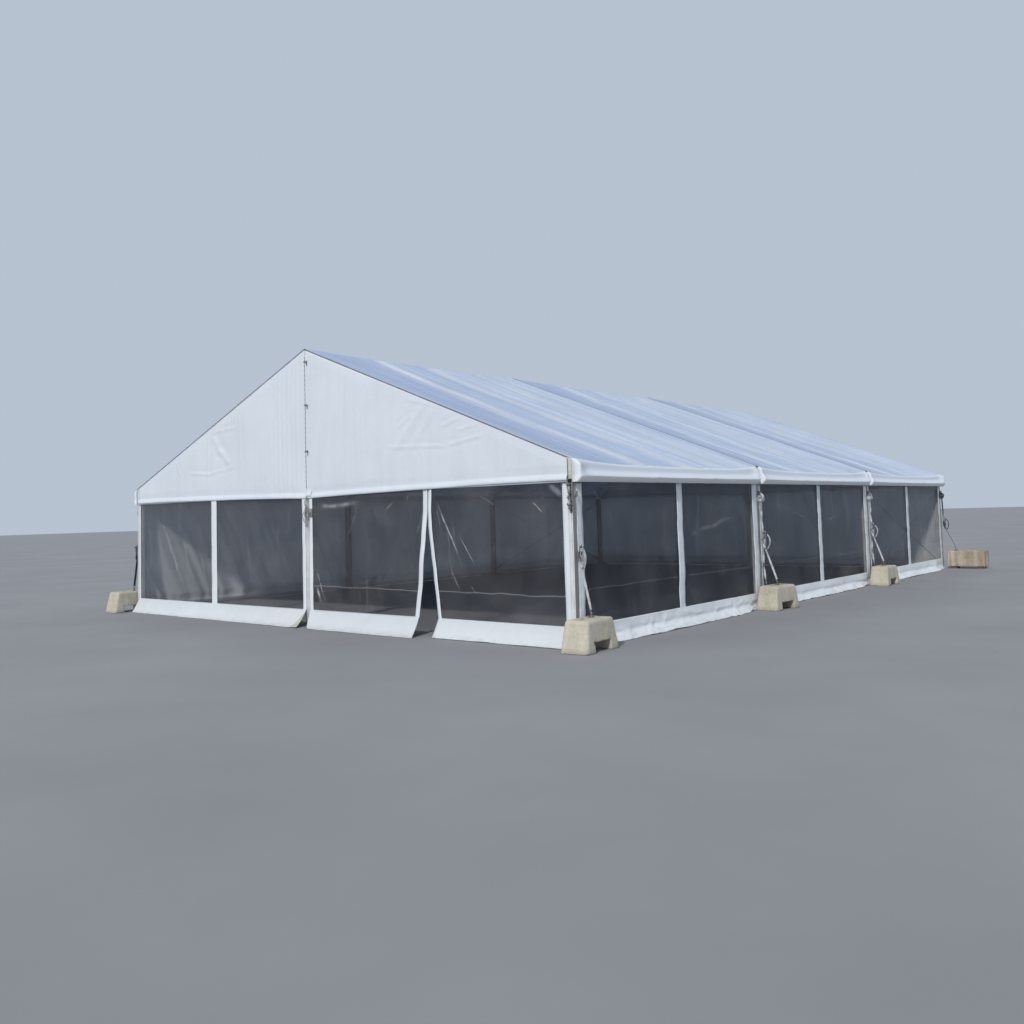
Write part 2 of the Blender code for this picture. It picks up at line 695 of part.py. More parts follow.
def build_straps(webbing):
    """A ratchet strap from the lug on each leg down to the top of its block."""
    for side, sign in SIDES:
        for i, y in enumerate(FRAME_Y):
            height = BLOCK_HEIGHT if i < BAY_COUNT else BACK_BLOCK_HEIGHT
            shift = BACK_STRAP_SHIFT if i == BAY_COUNT else 0
            outline = [(sign * (HALF_WIDTH + u), v) for u, v in strap_outline(BLOCK_OFFSET, height)]
            mesh = plate(outline, STRAP_WIDTH, upright(y))
            for vert in mesh.vertices:
                if vert.co.z < height + STRAP_WIDTH:
                    vert.co.y += shift
            add_object(f"strap_{side}_{i + 1}", mesh, webbing)


def build_marquee():
    clear_scene()
    metal = make_material("aluminium", (0.55, 0.56, 0.57), 0.38, 0.9)
    cable = make_material("steel_cable", (0.35, 0.36, 0.38), 0.4, 0.9)
    pvc = make_material("white_pvc", (0.82, 0.84, 0.88), 0.42)
    clear = make_material("clear_film", (0.6, 0.64, 0.68), 0.08, 0.0, 0.35)
    concrete = make_material("concrete", (0.52, 0.49, 0.40), 0.9)
    dark_concrete = make_material("stained_concrete", (0.42, 0.36, 0.29), 0.92)
    webbing = make_material("strap_webbing", (0.45, 0.47, 0.5), 0.7)
    build_legs(metal)
    build_portals(metal)
    build_purlins(metal)
    build_gable_frames(metal)
    build_braces(cable)
    build_roof(pvc)
    build_gable_sheets(pvc)
    build_side_walls(pvc, clear)
    build_end_walls(pvc, clear)
    build_curtains(pvc, clear)
    build_ballast(concrete, dark_concrete)
    build_straps(webbing)


build_marquee()
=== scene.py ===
"""Marquee tent, 10 m wide and 15 m long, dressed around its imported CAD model.

Metres, +Z up. X runs across the gable and Y along the ridge; the front gable faces -Y.
"""

import math

import bmesh
import bpy
import numpy as np
from mathutils import Matrix, Vector, noise


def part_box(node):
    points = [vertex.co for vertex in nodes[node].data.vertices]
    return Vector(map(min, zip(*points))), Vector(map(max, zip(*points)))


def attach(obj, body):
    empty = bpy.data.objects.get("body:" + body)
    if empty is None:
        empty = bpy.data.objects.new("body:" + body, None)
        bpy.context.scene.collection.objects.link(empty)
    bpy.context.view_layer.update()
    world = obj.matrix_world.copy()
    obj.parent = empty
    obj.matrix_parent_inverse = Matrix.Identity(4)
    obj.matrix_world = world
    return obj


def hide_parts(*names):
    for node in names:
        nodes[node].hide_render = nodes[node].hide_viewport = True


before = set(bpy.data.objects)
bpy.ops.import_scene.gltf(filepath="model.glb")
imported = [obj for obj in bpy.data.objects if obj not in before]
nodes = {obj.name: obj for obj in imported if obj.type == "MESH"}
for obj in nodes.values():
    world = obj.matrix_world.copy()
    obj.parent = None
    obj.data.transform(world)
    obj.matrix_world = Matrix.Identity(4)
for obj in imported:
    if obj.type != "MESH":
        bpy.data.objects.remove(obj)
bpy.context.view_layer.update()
scene = bpy.context.scene


# View of the tent
# Taken standing near the front right corner, eyes 1.6 m above the ground, with the picture cut
# a little lower than the lens looks.

EYE = (11.653, -16.689, 1.613)
YAW, PITCH, ROLL = -0.6908, 0.0617, -0.0285
camera_data = bpy.data.cameras.new("view")
camera_data.sensor_width = 36.0
camera_data.lens = 33.30
camera_data.shift_y = -0.0558
camera_data.clip_end = 500
camera = bpy.data.objects.new("view", camera_data)
scene.collection.objects.link(camera)
scene.camera = camera
looking = Vector((math.sin(YAW) * math.cos(PITCH), math.cos(YAW) * math.cos(PITCH), math.sin(PITCH)))
level = Vector((math.cos(YAW), -math.sin(YAW), 0))
upward = level.cross(looking)
aside = level * math.cos(ROLL) + upward * math.sin(ROLL)
above = upward * math.cos(ROLL) - level * math.sin(ROLL)
camera.matrix_world = Matrix.Translation(EYE) @ Matrix((aside, above, -looking)).transposed().to_4x4()


# Floor and light
# A plain pale floor, a soft lamp from the front where the sun stood, and an even pale sky-coloured
# surround.

FLOOR_SIZE = 400
SUN_WAY = (-0.25, 0.79, -0.58)
floor_mesh = bpy.data.meshes.new("floor")
floor_shape = bmesh.new()
bmesh.ops.create_grid(floor_shape, x_segments=8, y_segments=8, size=FLOOR_SIZE / 2)
floor_shape.to_mesh(floor_mesh)
floor_shape.free()
floor = bpy.data.objects.new("floor", floor_mesh)
scene.collection.objects.link(floor)


class Finish:
    """A finish that is mixed from shader nodes, laid out by the place on the object."""

    def __init__(self, name, roughness=0.5, metallic=0.0):
        self.material = bpy.data.materials.new(name)
        self.material.use_nodes = True
        self.nodes = self.material.node_tree.nodes
        self.shader = self.nodes["Principled BSDF"]
        self.feed({"Roughness": roughness, "Metallic": metallic})
        self.place = self.node("TexCoord").outputs["Object"]

    def feed(self, sockets, into=None):
        """Sets the shader's sockets, or another node's, or feeds them from other sockets."""
        for name, value in sockets.items():
            socket = (into or self.shader).inputs[name]
            if isinstance(value, bpy.types.NodeSocket):
                self.material.node_tree.links.new(value, socket)
            else:
                socket.default_value = (*value, 1) if socket.type == "RGBA" else value

    def node(self, kind, sockets=None, **settings):
        made = self.nodes.new("ShaderNode" + kind)
        for key, value in settings.items():
            setattr(made, key, value)
        self.feed(sockets or {}, made)
        return made

    def math(self, operation, *values):
        return self.node("Math", dict(enumerate(values)), operation=operation).outputs["Value"]

    def vector(self, operation, out, *values):
        return self.node("VectorMath", dict(enumerate(values)), operation=operation).outputs[out]

    def coordinate(self, axis, place=None):
        return self.node("SeparateXYZ", {"Vector": place or self.place}).outputs[axis]

    def mapped(self, **change):
        """The place on the object, scaled or turned."""
        return self.node("Mapping", {"Vector": self.place, **change}).outputs["Vector"]

    def grain(self, scale, detail=3.0, roughness=0.55, stretch=None, out="Fac"):
        """Cloudy noise, which runs long along an axis whose stretch value is small."""
        place = self.mapped(Scale=stretch) if stretch else self.place
        return self.node("TexNoise", {"Vector": place, "Scale": scale, "Detail": detail,
                                      "Roughness": roughness}).outputs[out]

    def waves(self, direction, scale, distortion=0.0, place=None):
        return self.node("TexWave", {"Vector": place or self.place, "Scale": scale, "Distortion": distortion},
                         bands_direction=direction).outputs["Fac"]

    def between(self, value, low, high, at_low=0.0, at_high=1.0, **settings):
        """Goes from at_low to at_high while the value goes from low to high."""
        return self.node("MapRange", {"Value": value, "From Min": low, "From Max": high, "To Min": at_low,
                                      "To Max": at_high}, **settings).outputs["Result"]

    def ramp(self, amount, *stops):
        """Colours or greys at places between 0 and 1, as (place, value) pairs."""
        made = self.node("ValToRGB", {"Fac": amount})
        points = made.color_ramp.elements
        while len(points) < len(stops):
            points.new(0.5)
        for point, (where, value) in zip(points, stops):
            point.position = where
            point.color = (*value, 1) if isinstance(value, tuple) else (value, value, value, 1)
        return made.outputs["Color"]

    def blended(self, amount, low, high, kind="MIX"):
        """Two colours mixed by an amount, each a socket or a plain colour."""
        return self.node("Mix", {0: amount, 6: low, 7: high}, data_type="RGBA", blend_type=kind).outputs[2]

    def shaded(self, colour, share, amount, *stops):
        """A colour multiplied by a ramp over the amount, at that share of full strength."""
        return self.blended(share, colour, self.ramp(amount, *stops), "MULTIPLY")

    def bumped(self, height, depth, strength=1.0):
        bump = self.node("Bump", {"Height": height, "Distance": depth, "Strength": strength})
        self.feed({"Normal": bump.outputs["Normal"]})


def mottled(name, roughness, metallic, scale, detail, dark, pale, bump=0.0):
    """A finish in cloudy patches between two colours, each given with its place on the ramp."""
    made = Finish(name, roughness, metallic)
    made.spots = made.grain(scale, detail)
    made.feed({"Base Color": made.ramp(made.spots, dark, pale)})
    if bump:
        made.bumped(made.spots, bump)
    return made


pale_floor = mottled("pale_floor", 0.85, 0.0, 0.35, 4.0, (0.3, (0.25, 0.255, 0.265)), (0.75, (0.295, 0.30, 0.31)))
floor_mesh.materials.append(pale_floor.material)

sun_data = bpy.data.lights.new("sun", "SUN")
sun_data.energy = 2.3
sun_data.angle = math.radians(4)
sun_data.color = (1.0, 0.97, 0.92)
sun = bpy.data.objects.new("sun", sun_data)
sun.rotation_euler = Vector(SUN_WAY).to_track_quat("-Z", "Y").to_euler()
scene.collection.objects.link(sun)
scene.world = bpy.data.worlds.new("surround")
scene.world.use_nodes = True
sky = scene.world.node_tree.nodes["Background"].inputs
sky["Color"].default_value = (0.68, 0.77, 0.90, 1)
sky["Strength"].default_value = 0.70
scene.view_settings.view_transform = "Standard"


# Aluminium legs
# Eight extruded box profiles, 120 by 70 mm, with a sheet groove near each corner. Each stands on a
# welded base plate that is pinned to the ground, and carries the lug for its strap.

HALF_WIDTH = 5.0
FRAME_Y = (-7.5, -2.5, 2.5, 7.5)
SIDES = (("left", -1), ("right", 1))
LEG_WIDTH = 0.12
LEG_THICK = 0.07
# How far in from a leg's outer side its painted shade reaches.
SHADED_SIDE_DEPTH = 0.006
PLATE_TOP = 0.012
PIN_INSET = 0.21
PIN_SPREAD = 0.062
GROUND_PIN = ((0, 0.022), (0.004, 0.022), (0.005, 0.009), (0.018, 0.009), (0.019, 0.017), (0.028, 0.016),
              (0.031, 0.010))
FOOT_GUSSET = ((0, 0), (0.07, 0), (0.07, 0.006), (0.008, 0.09), (0, 0.09))
GUSSET_THICK = 0.006
RIVET = ((-0.004, 0.007), (0.0012, 0.0085), (0.002, 0.0085), (0.0022, 0.005), (-0.003, 0.005))
RIVET_HEIGHTS = (0.16, 1.51, 1.63, 1.72)


def aluminium(name, along, pale=(0.80, 0.81, 0.83), dull=(0.64, 0.65, 0.67), shaded_from=None):
    """Mill-finish aluminium with drawing lines along one axis, dulled in patches.

    Faces further out than shaded_from are drawn dark. This is painted shade for the legs' outer sides, recessed between
    the sheets.
    """
    made = Finish(name, 0.45, 0.35)
    drawn = made.grain(1.0, stretch=[1.2 if axis == along else 90.0 for axis in range(3)])
    patches = made.grain(5.0, 4.0)
    colour = made.ramp(patches, (0.32, dull), (0.62, pale))
    # Painted shade: the outer sides, recessed between the sheets, are drawn dark.
    if shaded_from:
        outer = made.between(made.math("ABSOLUTE", made.coordinate("X")), shaded_from, shaded_from + 0.004)
        painted_shade = made.ramp(drawn, (0.3, (0.20, 0.195, 0.19)), (0.7, (0.40, 0.395, 0.39)))
        colour = made.blended(outer, colour, painted_shade)
    made.feed({"Base Color": made.shaded(colour, 1.0, drawn, (0.25, 0.90), (0.7, 1.0)),
               "Roughness": made.between(patches, 0.0, 1.0, 0.30, 0.58)})
    made.bumped(drawn, 0.0008, 0.5)
    return made.material


def plain_steel(name, colour, roughness, mottle=12.0):
    """Zinc-plated or stained steel, mottled."""
    dark = tuple(c * 0.55 for c in colour)
    made = mottled(name, roughness, 0.75, mottle, 5.0, (0.35, dark), (0.6, colour), 0.0006)
    made.feed({"Roughness": made.between(made.spots, 0.0, 1.0, roughness - 0.12, roughness + 0.16)})
    return made.material


leg_metal = aluminium("leg_aluminium", 2, (0.88, 0.89, 0.91), (0.72, 0.73, 0.75), HALF_WIDTH - SHADED_SIDE_DEPTH)
# A darker copy of the leg aluminium: painted shade for the left legs that stand in the tent's shade.
shaded_leg_metal = aluminium("shaded_leg_aluminium", 2, (0.42, 0.42, 0.43), (0.33, 0.33, 0.34), HALF_WIDTH - SHADED_SIDE_DEPTH)
bolt_steel = plain_steel("bolt_steel", (0.50, 0.50, 0.49), 0.42)


def tube(rings):
    """Points and faces of a closed tube, from its rings of points."""
    sides = len(rings[0])
    last = (len(rings) - 1) * sides
    faces = [[k + i, k + (i + 1) % sides, k + sides + (i + 1) % sides, k + sides + i]
             for k in range(0, last, sides) for i in range(sides)]
    faces += [list(reversed(range(sides))), list(range(last, last + sides))]
    return [point for ring in rings for point in ring], faces


def slab(corner, opposite, round_by):
    """A box between two opposite corners, with rounded edges."""
    low, high = Vector(map(min, corner, opposite)), Vector(map(max, corner, opposite))
    shape = bmesh.new()
    bmesh.ops.create_cube(shape, size=1.0)
    for vert in shape.verts:
        vert.co = Vector(a * b for a, b in zip(vert.co, high - low))
    bmesh.ops.bevel(shape, geom=shape.edges[:], offset=round_by, segments=2, profile=0.5, affect="EDGES")
    shape.verts.index_update()
    points = [vert.co + (low + high) / 2 for vert in shape.verts]
    faces = [[vert.index for vert in face.verts] for face in shape.faces]
    shape.free()
    return points, faces


def turned(profile, at, axis, sides=14):
    """A turned piece: profile gives (distance along the axis, radius) from one closed end to the other."""
    turn = Vector(axis).to_track_quat("Z", "Y").to_matrix()
    angles = [math.tau * i / sides for i in range(sides)]
    return tube([[Vector(at) + turn @ Vector((radius * math.cos(a), radius * math.sin(a), height)) for a in angles]
                 for height, radius in profile])


def bolt(at, axis, size):
    """A hex head with its washer, for a thread of this size, standing on a face at this point."""
    washer = turned([(0, size * 0.9), (size * 0.16, size * 0.9), (size * 0.2, size * 0.86)], at, axis)
    head = turned([(size * 0.2, size * 0.86), (size * 0.66, size * 0.86), (size * 0.74, size * 0.74)], at, axis, 6)
    return [washer, head]


def ahead_at(points, k):
    return (points[min(k + 1, len(points) - 1)] - points[max(k - 1, 0)]).normalized()


def run(points, radius, sides=8):
    """A round bar or rope along points, with closed ends."""
    points = [Vector(p) for p in points]
    rings = []
    across = ahead_at(points, 0).orthogonal().normalized()
    for k, point in enumerate(points):
        ahead = ahead_at(points, k)
        across = (across - ahead * across.dot(ahead)).normalized()
        other = ahead.cross(across)
        turns = [math.tau * i / sides for i in range(sides)]
        rings.append([point + (across * math.cos(a) + other * math.sin(a)) * radius for a in turns])
    return tube(rings)


def curve_through(points, per_span=8):
    """A smooth line through points."""
    points = [Vector(p) for p in points]
    ends = [points[0] * 2 - points[1]] + points + [points[-1] * 2 - points[-2]]
    line = []
    for a, b, c, d in zip(ends, ends[1:], ends[2:], ends[3:]):
        for i in range(per_span):
            t = i / per_span
            line.append(0.5 * (2 * b + (c - a) * t + (2 * a - 5 * b + 4 * c - d) * t * t
                               + (3 * b - a - 3 * c + d) * t ** 3))
    return line + [points[-1]]


def piece(name, mesh, look, slot, *stands_for):
    """A piece of the tent in its finish, riding with the frame."""
    made = bpy.data.objects.new(name, mesh)
    scene.collection.objects.link(made)
    mesh.materials.append(look)
    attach(made, "root")
    if stands_for:
        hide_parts(*stands_for)
    return made


def fitting(name, parts, look, slot, *stands_for):
    """A piece made of several shapes, each given as its points and faces."""
    points, faces = [], []
    for shape_points, shape_faces in parts:
        faces += [[len(points) + i for i in face] for face in shape_faces]
        points += [tuple(p) for p in shape_points]
    mesh = bpy.data.meshes.new(name)
    mesh.from_pydata(points, [], faces)
    shape = bmesh.new()
    shape.from_mesh(mesh)
    bmesh.ops.recalc_face_normals(shape, faces=shape.faces)
    shape.to_mesh(mesh)
    shape.free()
    mesh.shade_smooth()
    mesh.set_sharp_from_angle(angle=0.6)
    piece(name, mesh, look, slot, *stands_for)


def paint(name, look):
    """A CAD node that stays takes its finish and slightly softened edges."""
    nodes[name].data.materials.clear()
    nodes[name].data.materials.append(look)
    soft = nodes[name].modifiers.new("Softened edges", "BEVEL")
    soft.width = 0.0015
    soft.segments = 2
    soft.limit_method = "ANGLE"


for side, sign in SIDES:
    for i, y in enumerate(FRAME_Y):
        leg = f"leg_{side}_{i + 1}"
        # The left legs behind the corner take the darker copy, which is painted shade.
        paint(leg, shaded_leg_metal if side == "left" and i else leg_metal)
        low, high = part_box(leg)
        parts = []
        for end in (-1, 1):
            pin = (sign * (HALF_WIDTH - PIN_INSET), (low.y + high.y) / 2 + end * PIN_SPREAD, PLATE_TOP)
            parts.append(turned(GROUND_PIN, pin, (0, 0, 1)))
            start = y + end * LEG_THICK * 0.25 - GUSSET_THICK / 2
            parts.append(tube([[(sign * (HALF_WIDTH - LEG_WIDTH - u), along, PLATE_TOP + v) for u, v in FOOT_GUSSET]
                               for along in (start, start + GUSSET_THICK)]))
        for height in RIVET_HEIGHTS:
            parts.append(turned(RIVET, (sign * HALF_WIDTH, y + 0.002, height), (sign, 0, 0), 12))
        fitting(f"leg_fittings_{side}_{i + 1}", parts, bolt_steel, "aluminium")


# Rafters
# Box profiles bolted through welded knees to the legs and through a fish plate at the ridge.

KNEE_BOLTS = ((4.93, 2.06), (4.93, 2.14), (4.80, 2.10), (4.68, 2.16), (4.56, 2.21))
RIDGE_BOLTS = ((0.09, 3.98), (0.21, 3.98), (0.09, 4.08), (0.21, 4.06))
BOLT_SIZE = 0.016
INNER_FACES = ((1,), (-1, 1), (-1, 1), (-1,))
rafter_metal = aluminium("rafter_aluminium", 0)

for i, y in enumerate(FRAME_Y):
    paint(f"rafters_{i + 1}", rafter_metal)
    parts = []
    for face in INNER_FACES[i]:
        for sign in (-1, 1):
            for x, z in KNEE_BOLTS + RIDGE_BOLTS:
                parts += bolt((sign * x, y + face * LEG_THICK / 2, z), (0, face, 0), BOLT_SIZE)
    fitting(f"rafter_bolts_{i + 1}", parts, bolt_steel, "aluminium")


# Purlin, eave beams and gable frames
# Straight box profiles that drop into brackets on the portal frames, and at each gable a centre
# post on the ground with a rail to either corner.

BRACKET_FACE = 0.031
BRACKET_OUTSIDE = 0.037
beam_metal = aluminium("beam_aluminium", 1)
rail_metal = aluminium("rail_aluminium", 0)

for name in ("ridge_purlin", "eave_beam_left", "eave_beam_right"):
    paint(name, beam_metal)
for name in ("gable_frame_front", "gable_frame_back"):
    paint(name, rail_metal)

parts = []
low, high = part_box("ridge_purlin")
for i, y in enumerate(FRAME_Y):
    for face in INNER_FACES[i]:
        start = y + face * LEG_THICK / 2
        for sign in (-1, 1):
            parts.append(slab((sign * BRACKET_FACE, start, low.z + 0.006),
                              (sign * BRACKET_OUTSIDE, start + face * 0.09, high.z - 0.022), 0.0015))
            parts += bolt((sign * BRACKET_OUTSIDE, start + face * 0.055, low.z + 0.03), (sign, 0, 0), 0.010)
fitting("purlin_brackets", parts, bolt_steel, "aluminium")


# Wind cables
# Crossed 12 mm wire ropes in the last bay of both sides, shackled to lugs on the legs, drawn
# tight by a bottle screw near each foot and held by a ring where they cross.

CABLE_RADIUS = 0.006
LUG_HALF = 0.03
SCREW_LENGTH = 0.30
SCREW = ((0, 0.006), (0.03, 0.006), (0.031, 0.012), (0.06, 0.014), (0.20, 0.014), (0.229, 0.012), (0.23, 0.006),
         (SCREW_LENGTH, 0.006))
rope_steel = Finish("rope_steel", 0.38, 0.8)
strands = rope_steel.waves("DIAGONAL", 1.0, 0.6, rope_steel.mapped(Scale=(60, 120, 200)))
rope_steel.feed({"Base Color": rope_steel.ramp(strands, (0.2, (0.16, 0.16, 0.17)), (0.7, (0.46, 0.46, 0.47)))})
rope_steel.bumped(strands, 0.001)


def circle(middle, first, second, count, turns=1):
    """Points round a circle or an oval, from the end of its first radius towards its second."""
    return [middle + first * math.cos(a) + second * math.sin(a) for a in np.linspace(0, math.tau * turns, count)]


for side, sign in SIDES:
    low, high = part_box(f"wind_brace_{side}")
    x = (low.x + high.x) / 2
    bottom, top = low.z + LUG_HALF, high.z - LUG_HALF
    parts = []
    for y0, y1, inward in ((low.y, high.y, 1), (high.y, low.y, -1)):
        start, end = Vector((x, y0 + inward * 0.012, bottom)), Vector((x, y1 - inward * 0.012, top))
        ahead = (end - start).normalized()
        beside = Vector((0.0065 * inward, 0, 0))
        parts.append(run([start + ahead * (0.04 + SCREW_LENGTH) + beside * 0.4, (start + end) / 2 + beside,
                          end - ahead * 0.05 + beside * 0.4], CABLE_RADIUS, 10))
        parts.append(turned(SCREW, start + ahead * 0.05, ahead, 12))
        for at, way, lug_y, turn in ((start, ahead, y0, inward), (end, -ahead, y1, -inward)):
            parts.append(slab((x - LUG_HALF, lug_y, at.z - LUG_HALF),
                              (x + LUG_HALF, lug_y + turn * 0.010, at.z + LUG_HALF), 0.002))
            reach = way * 0.045 / 1.4
            parts.append(run(circle(at + reach, -reach, way.cross(Vector((1, 0, 0))) * 0.017, 15), 0.005, 7))
    middle = Vector((x, (low.y + high.y) / 2, (bottom + top) / 2))
    parts.append(run(circle(middle, Vector((0, 0.036, 0)), Vector((0, 0, 0.036)), 25), 0.007))
    fitting(f"wind_cables_{side}", parts, rope_steel.material, "steel_cable", f"wind_brace_{side}")


# Roof sheets
# One welded PVC sheet for each bay, slid into the rafters' grooves and pulled down over the eave
# beams. Three widths of cloth are welded side by side, so two seams cross each sheet, and the
# cloth hangs a little between the frames. Its fascia bulges over the beam and is tucked under, with
# a full gusset closing either end, and stops short of the next bay's.

RIDGE_HEIGHT = 4.24
EAVE_HEIGHT = 2.26
SLOPE = (RIDGE_HEIGHT - EAVE_HEIGHT) / HALF_WIDTH
CLOTH_SHOWN = 0.003
SLOPE_SAG = 0.07
RIDGE_SAG = 0.025
SLOPE_END = 4.985
FASCIA_START = 5.008
FASCIA_LINE = ((FASCIA_START, 2.2530), (5.030, 2.2395), (5.042, 2.218), (5.046, 2.190), (5.050, 2.160), (5.057, 2.132),
               (5.074, 2.106), (5.102, 2.082), (5.125, 2.061), (5.135, 2.043), (5.130, 2.028), (5.112, 2.000),
               (5.092, 1.977), (5.080, 1.967))
FASCIA_END = ((FASCIA_START, 2.2530), (5.036, 2.2440), (5.072, 2.2300), (5.106, 2.2120), (5.125, 2.1880),
              (5.131, 2.1550), (5.134, 2.1240), (5.135, 2.0900), (5.136, 2.0650), (5.136, 2.0430), (5.131, 2.0280),
              (5.112, 2.0000), (5.092, 1.977), (5.080, 1.967))
SEAM_SHARES = (1 / 3, 2 / 3)
WEAVE_SHARE = 0.15
FASCIA_SHORT = 0.12
ROOF_FLAT = (11.4, 5.1)


def sheet_cloth(name, clean, soiled, glow, skirted=0.0, tinted=None, crumple=0.0012):
    """PVC-coated cloth: faint cloudy soiling, rain runs, the weave under the coat, light shining through.

    tinted changes the colour further. A skirted sheet is double and dusty along the ground, and its
    skirt keeps that share of its brightness.
    """
    made = Finish(name)
    fine = made.grain(38.0)
    colour = made.ramp(made.grain(0.9, 4.0, 0.6), (0.30, soiled), (0.62, clean))
    colour = made.shaded(colour, 0.40, made.grain(1.0, stretch=(7, 7, 0.7)), (0.28, 0.92), (0.55, 1.0))
    colour = made.shaded(colour, 0.30, fine, (0.3, 0.92), (0.6, 1.0))
    if tinted:
        colour = tinted(made, colour)
    if skirted:
        height = made.coordinate("Z")
        double = made.blended(1.0, colour, (skirted,) * 3, "MULTIPLY")
        colour = made.blended(made.between(height, 0.29, 0.24), colour, double)
        dusty = made.math("MULTIPLY", made.between(height, 0.07, 0.0, 0.0, 0.6),
                          made.ramp(made.grain(7.0, 5.0), (0.46, 0.0), (0.70, 1.0)))
        colour = made.blended(dusty, colour, (0.42, 0.41, 0.38))
        glow = made.between(height, 0.10, 0.35, 0.0, glow)
    made.feed({"Base Color": colour, "Roughness": made.between(fine, 0.0, 1.0, 0.32, 0.54)})
    weft = made.waves("X", 70.0, place=made.mapped(Rotation=(0, 0, math.pi / 4)))
    weave = made.math("MULTIPLY", made.waves("Z", 50.0), weft)
    made.bumped(made.math("MULTIPLY_ADD", weave, WEAVE_SHARE, made.grain(14.0)), crumple, 0.6)
    through = made.node("BsdfTranslucent", {"Color": colour})
    mixed = made.node("MixShader", {"Fac": glow, 1: made.shader.outputs["BSDF"], 2: through.outputs["BSDF"]})
    made.feed({"Surface": mixed.outputs["Shader"]}, made.nodes["Material Output"])
    return made.material


def roof_tints(made, colour):
    """Painted shade and highlights: bluish behind each frame and paler towards the next, as the sagging cloth takes the
    light, with painted pale lines up the slope for its folds, and a white fascia painted lighter under its bulge, which
    is in shade.
    """
    sway = made.math("MULTIPLY_ADD", made.grain(1.0, 2.0, stretch=(0.45, 0.12, 0.1)), 0.9, 7.05)
    bays = made.math("MULTIPLY", made.math("ADD", made.coordinate("Y"), sway), 0.2)
    # Painted shade and highlights in bands along each bay, for the light on the sagging cloth.
    bands = made.ramp(made.math("FRACT", bays), (0.00, (0.71, 0.79, 0.93)), (0.09, (0.60, 0.69, 0.87)),
                      (0.25, (0.68, 0.76, 0.92)), (0.31, (1.0, 1.0, 1.0)), (0.36, (0.75, 0.82, 0.94)),
                      (0.50, (0.71, 0.80, 0.93)), (0.56, (1.0, 1.0, 1.0)), (0.62, (0.80, 0.86, 0.97)),
                      (0.80, (0.89, 0.93, 0.99)), (0.97, (0.83, 0.89, 0.98)))
    # Painted lighter and darker lines up the slope, for the light on the folds.
    bands = made.shaded(bands, 0.8, made.grain(1.0, stretch=(0.35, 9.0, 0.2)), (0.36, 0.82), (0.60, 1.0))
    bands = made.shaded(bands, 0.7, made.grain(1.0, stretch=(0.5, 30.0, 0.3)), (0.38, 0.90), (0.56, 1.0))
    # The painted shade and highlights are multiplied into the roof colour.
    worn = made.blended(1.0, colour, bands, "MULTIPLY")
    on_fascia = made.between(made.math("ABSOLUTE", made.coordinate("X")), 5.000, 5.016)
    # Painted light: the fascia is drawn whiter below its bulge, where it lies in shade.
    under = made.between(made.coordinate("Z"), 2.050, 2.038)
    return made.blended(on_fascia, worn, made.blended(under, (0.81, 0.87, 0.94), (0.96, 0.98, 1.0)))


roof_cloth = sheet_cloth("roof_cloth", (0.85, 0.90, 0.98), (0.75, 0.81, 0.92), 0.17, tinted=roof_tints)


def hills(u, v, seed):
    """Smooth random heights from -1 to 1, about one hill or hollow for each unit of u and v."""
    u, v = np.broadcast_arrays(np.asarray(u, float), np.asarray(v, float))
    low_u, low_v = np.floor(u), np.floor(v)
    part_u, part_v = u - low_u, v - low_v
    part_u, part_v = part_u ** 2 * (3 - 2 * part_u), part_v ** 2 * (3 - 2 * part_v)

    def corner(a, b):
        mixed = np.sin(a * 127.1 + b * 311.7 + seed * 74.7) * 43758.5453
        return 2 * (mixed - np.floor(mixed)) - 1

    near = corner(low_u, low_v) * (1 - part_u) + corner(low_u + 1, low_v) * part_u
    far = corner(low_u, low_v + 1) * (1 - part_u) + corner(low_u + 1, low_v + 1) * part_u
    return near * (1 - part_v) + far * part_v


def rise(value, over=1.0):
    """From 0 up to 1 while the value goes from 0 to over."""
    return np.clip(value / over, 0, 1)


def swell(away, width):
    """A round swelling, 1 in its middle and nothing at about twice its width away."""
    return np.exp(-(away / width) ** 2)


def smooth_line(points, per_span=3):
    return np.array([tuple(p) for p in curve_through([(x, z, 0) for x, z in points], per_span)])[:, :2]


def cloth(name, points, outward, look, cad_node, thickness, kept=None, slot="pvc", **told):
    """A sheet from rows and columns of points, with only the kept cells, facing outward.
    """
    rows, columns = points.shape[:2]
    index = np.arange(rows * columns).reshape(rows, columns)
    cells = np.stack([index[:-1, :-1], index[:-1, 1:], index[1:, 1:], index[1:, :-1]], axis=-1)
    cells = cells[kept] if kept is not None else cells.reshape(-1, 4)
    used, cells = np.unique(cells, return_inverse=True)
    cells = cells.reshape(-1, 4)
    flat = points.reshape(-1, 3)[used]
    corners = flat[cells]
    facing = np.cross(corners[:, 2] - corners[:, 0], corners[:, 3] - corners[:, 1]).sum(0)
    if facing @ np.array(outward, float) < 0:
        cells = cells[:, ::-1]
    mesh = bpy.data.meshes.new(name)
    mesh.from_pydata(flat.tolist(), [], cells.tolist())
    mesh.shade_smooth()
    made = piece(name, mesh, look, slot, *([cad_node] if cad_node else []))
    layer = made.modifiers.new("Cloth thickness", "SOLIDIFY")
    layer.thickness = thickness
    layer.offset = -1


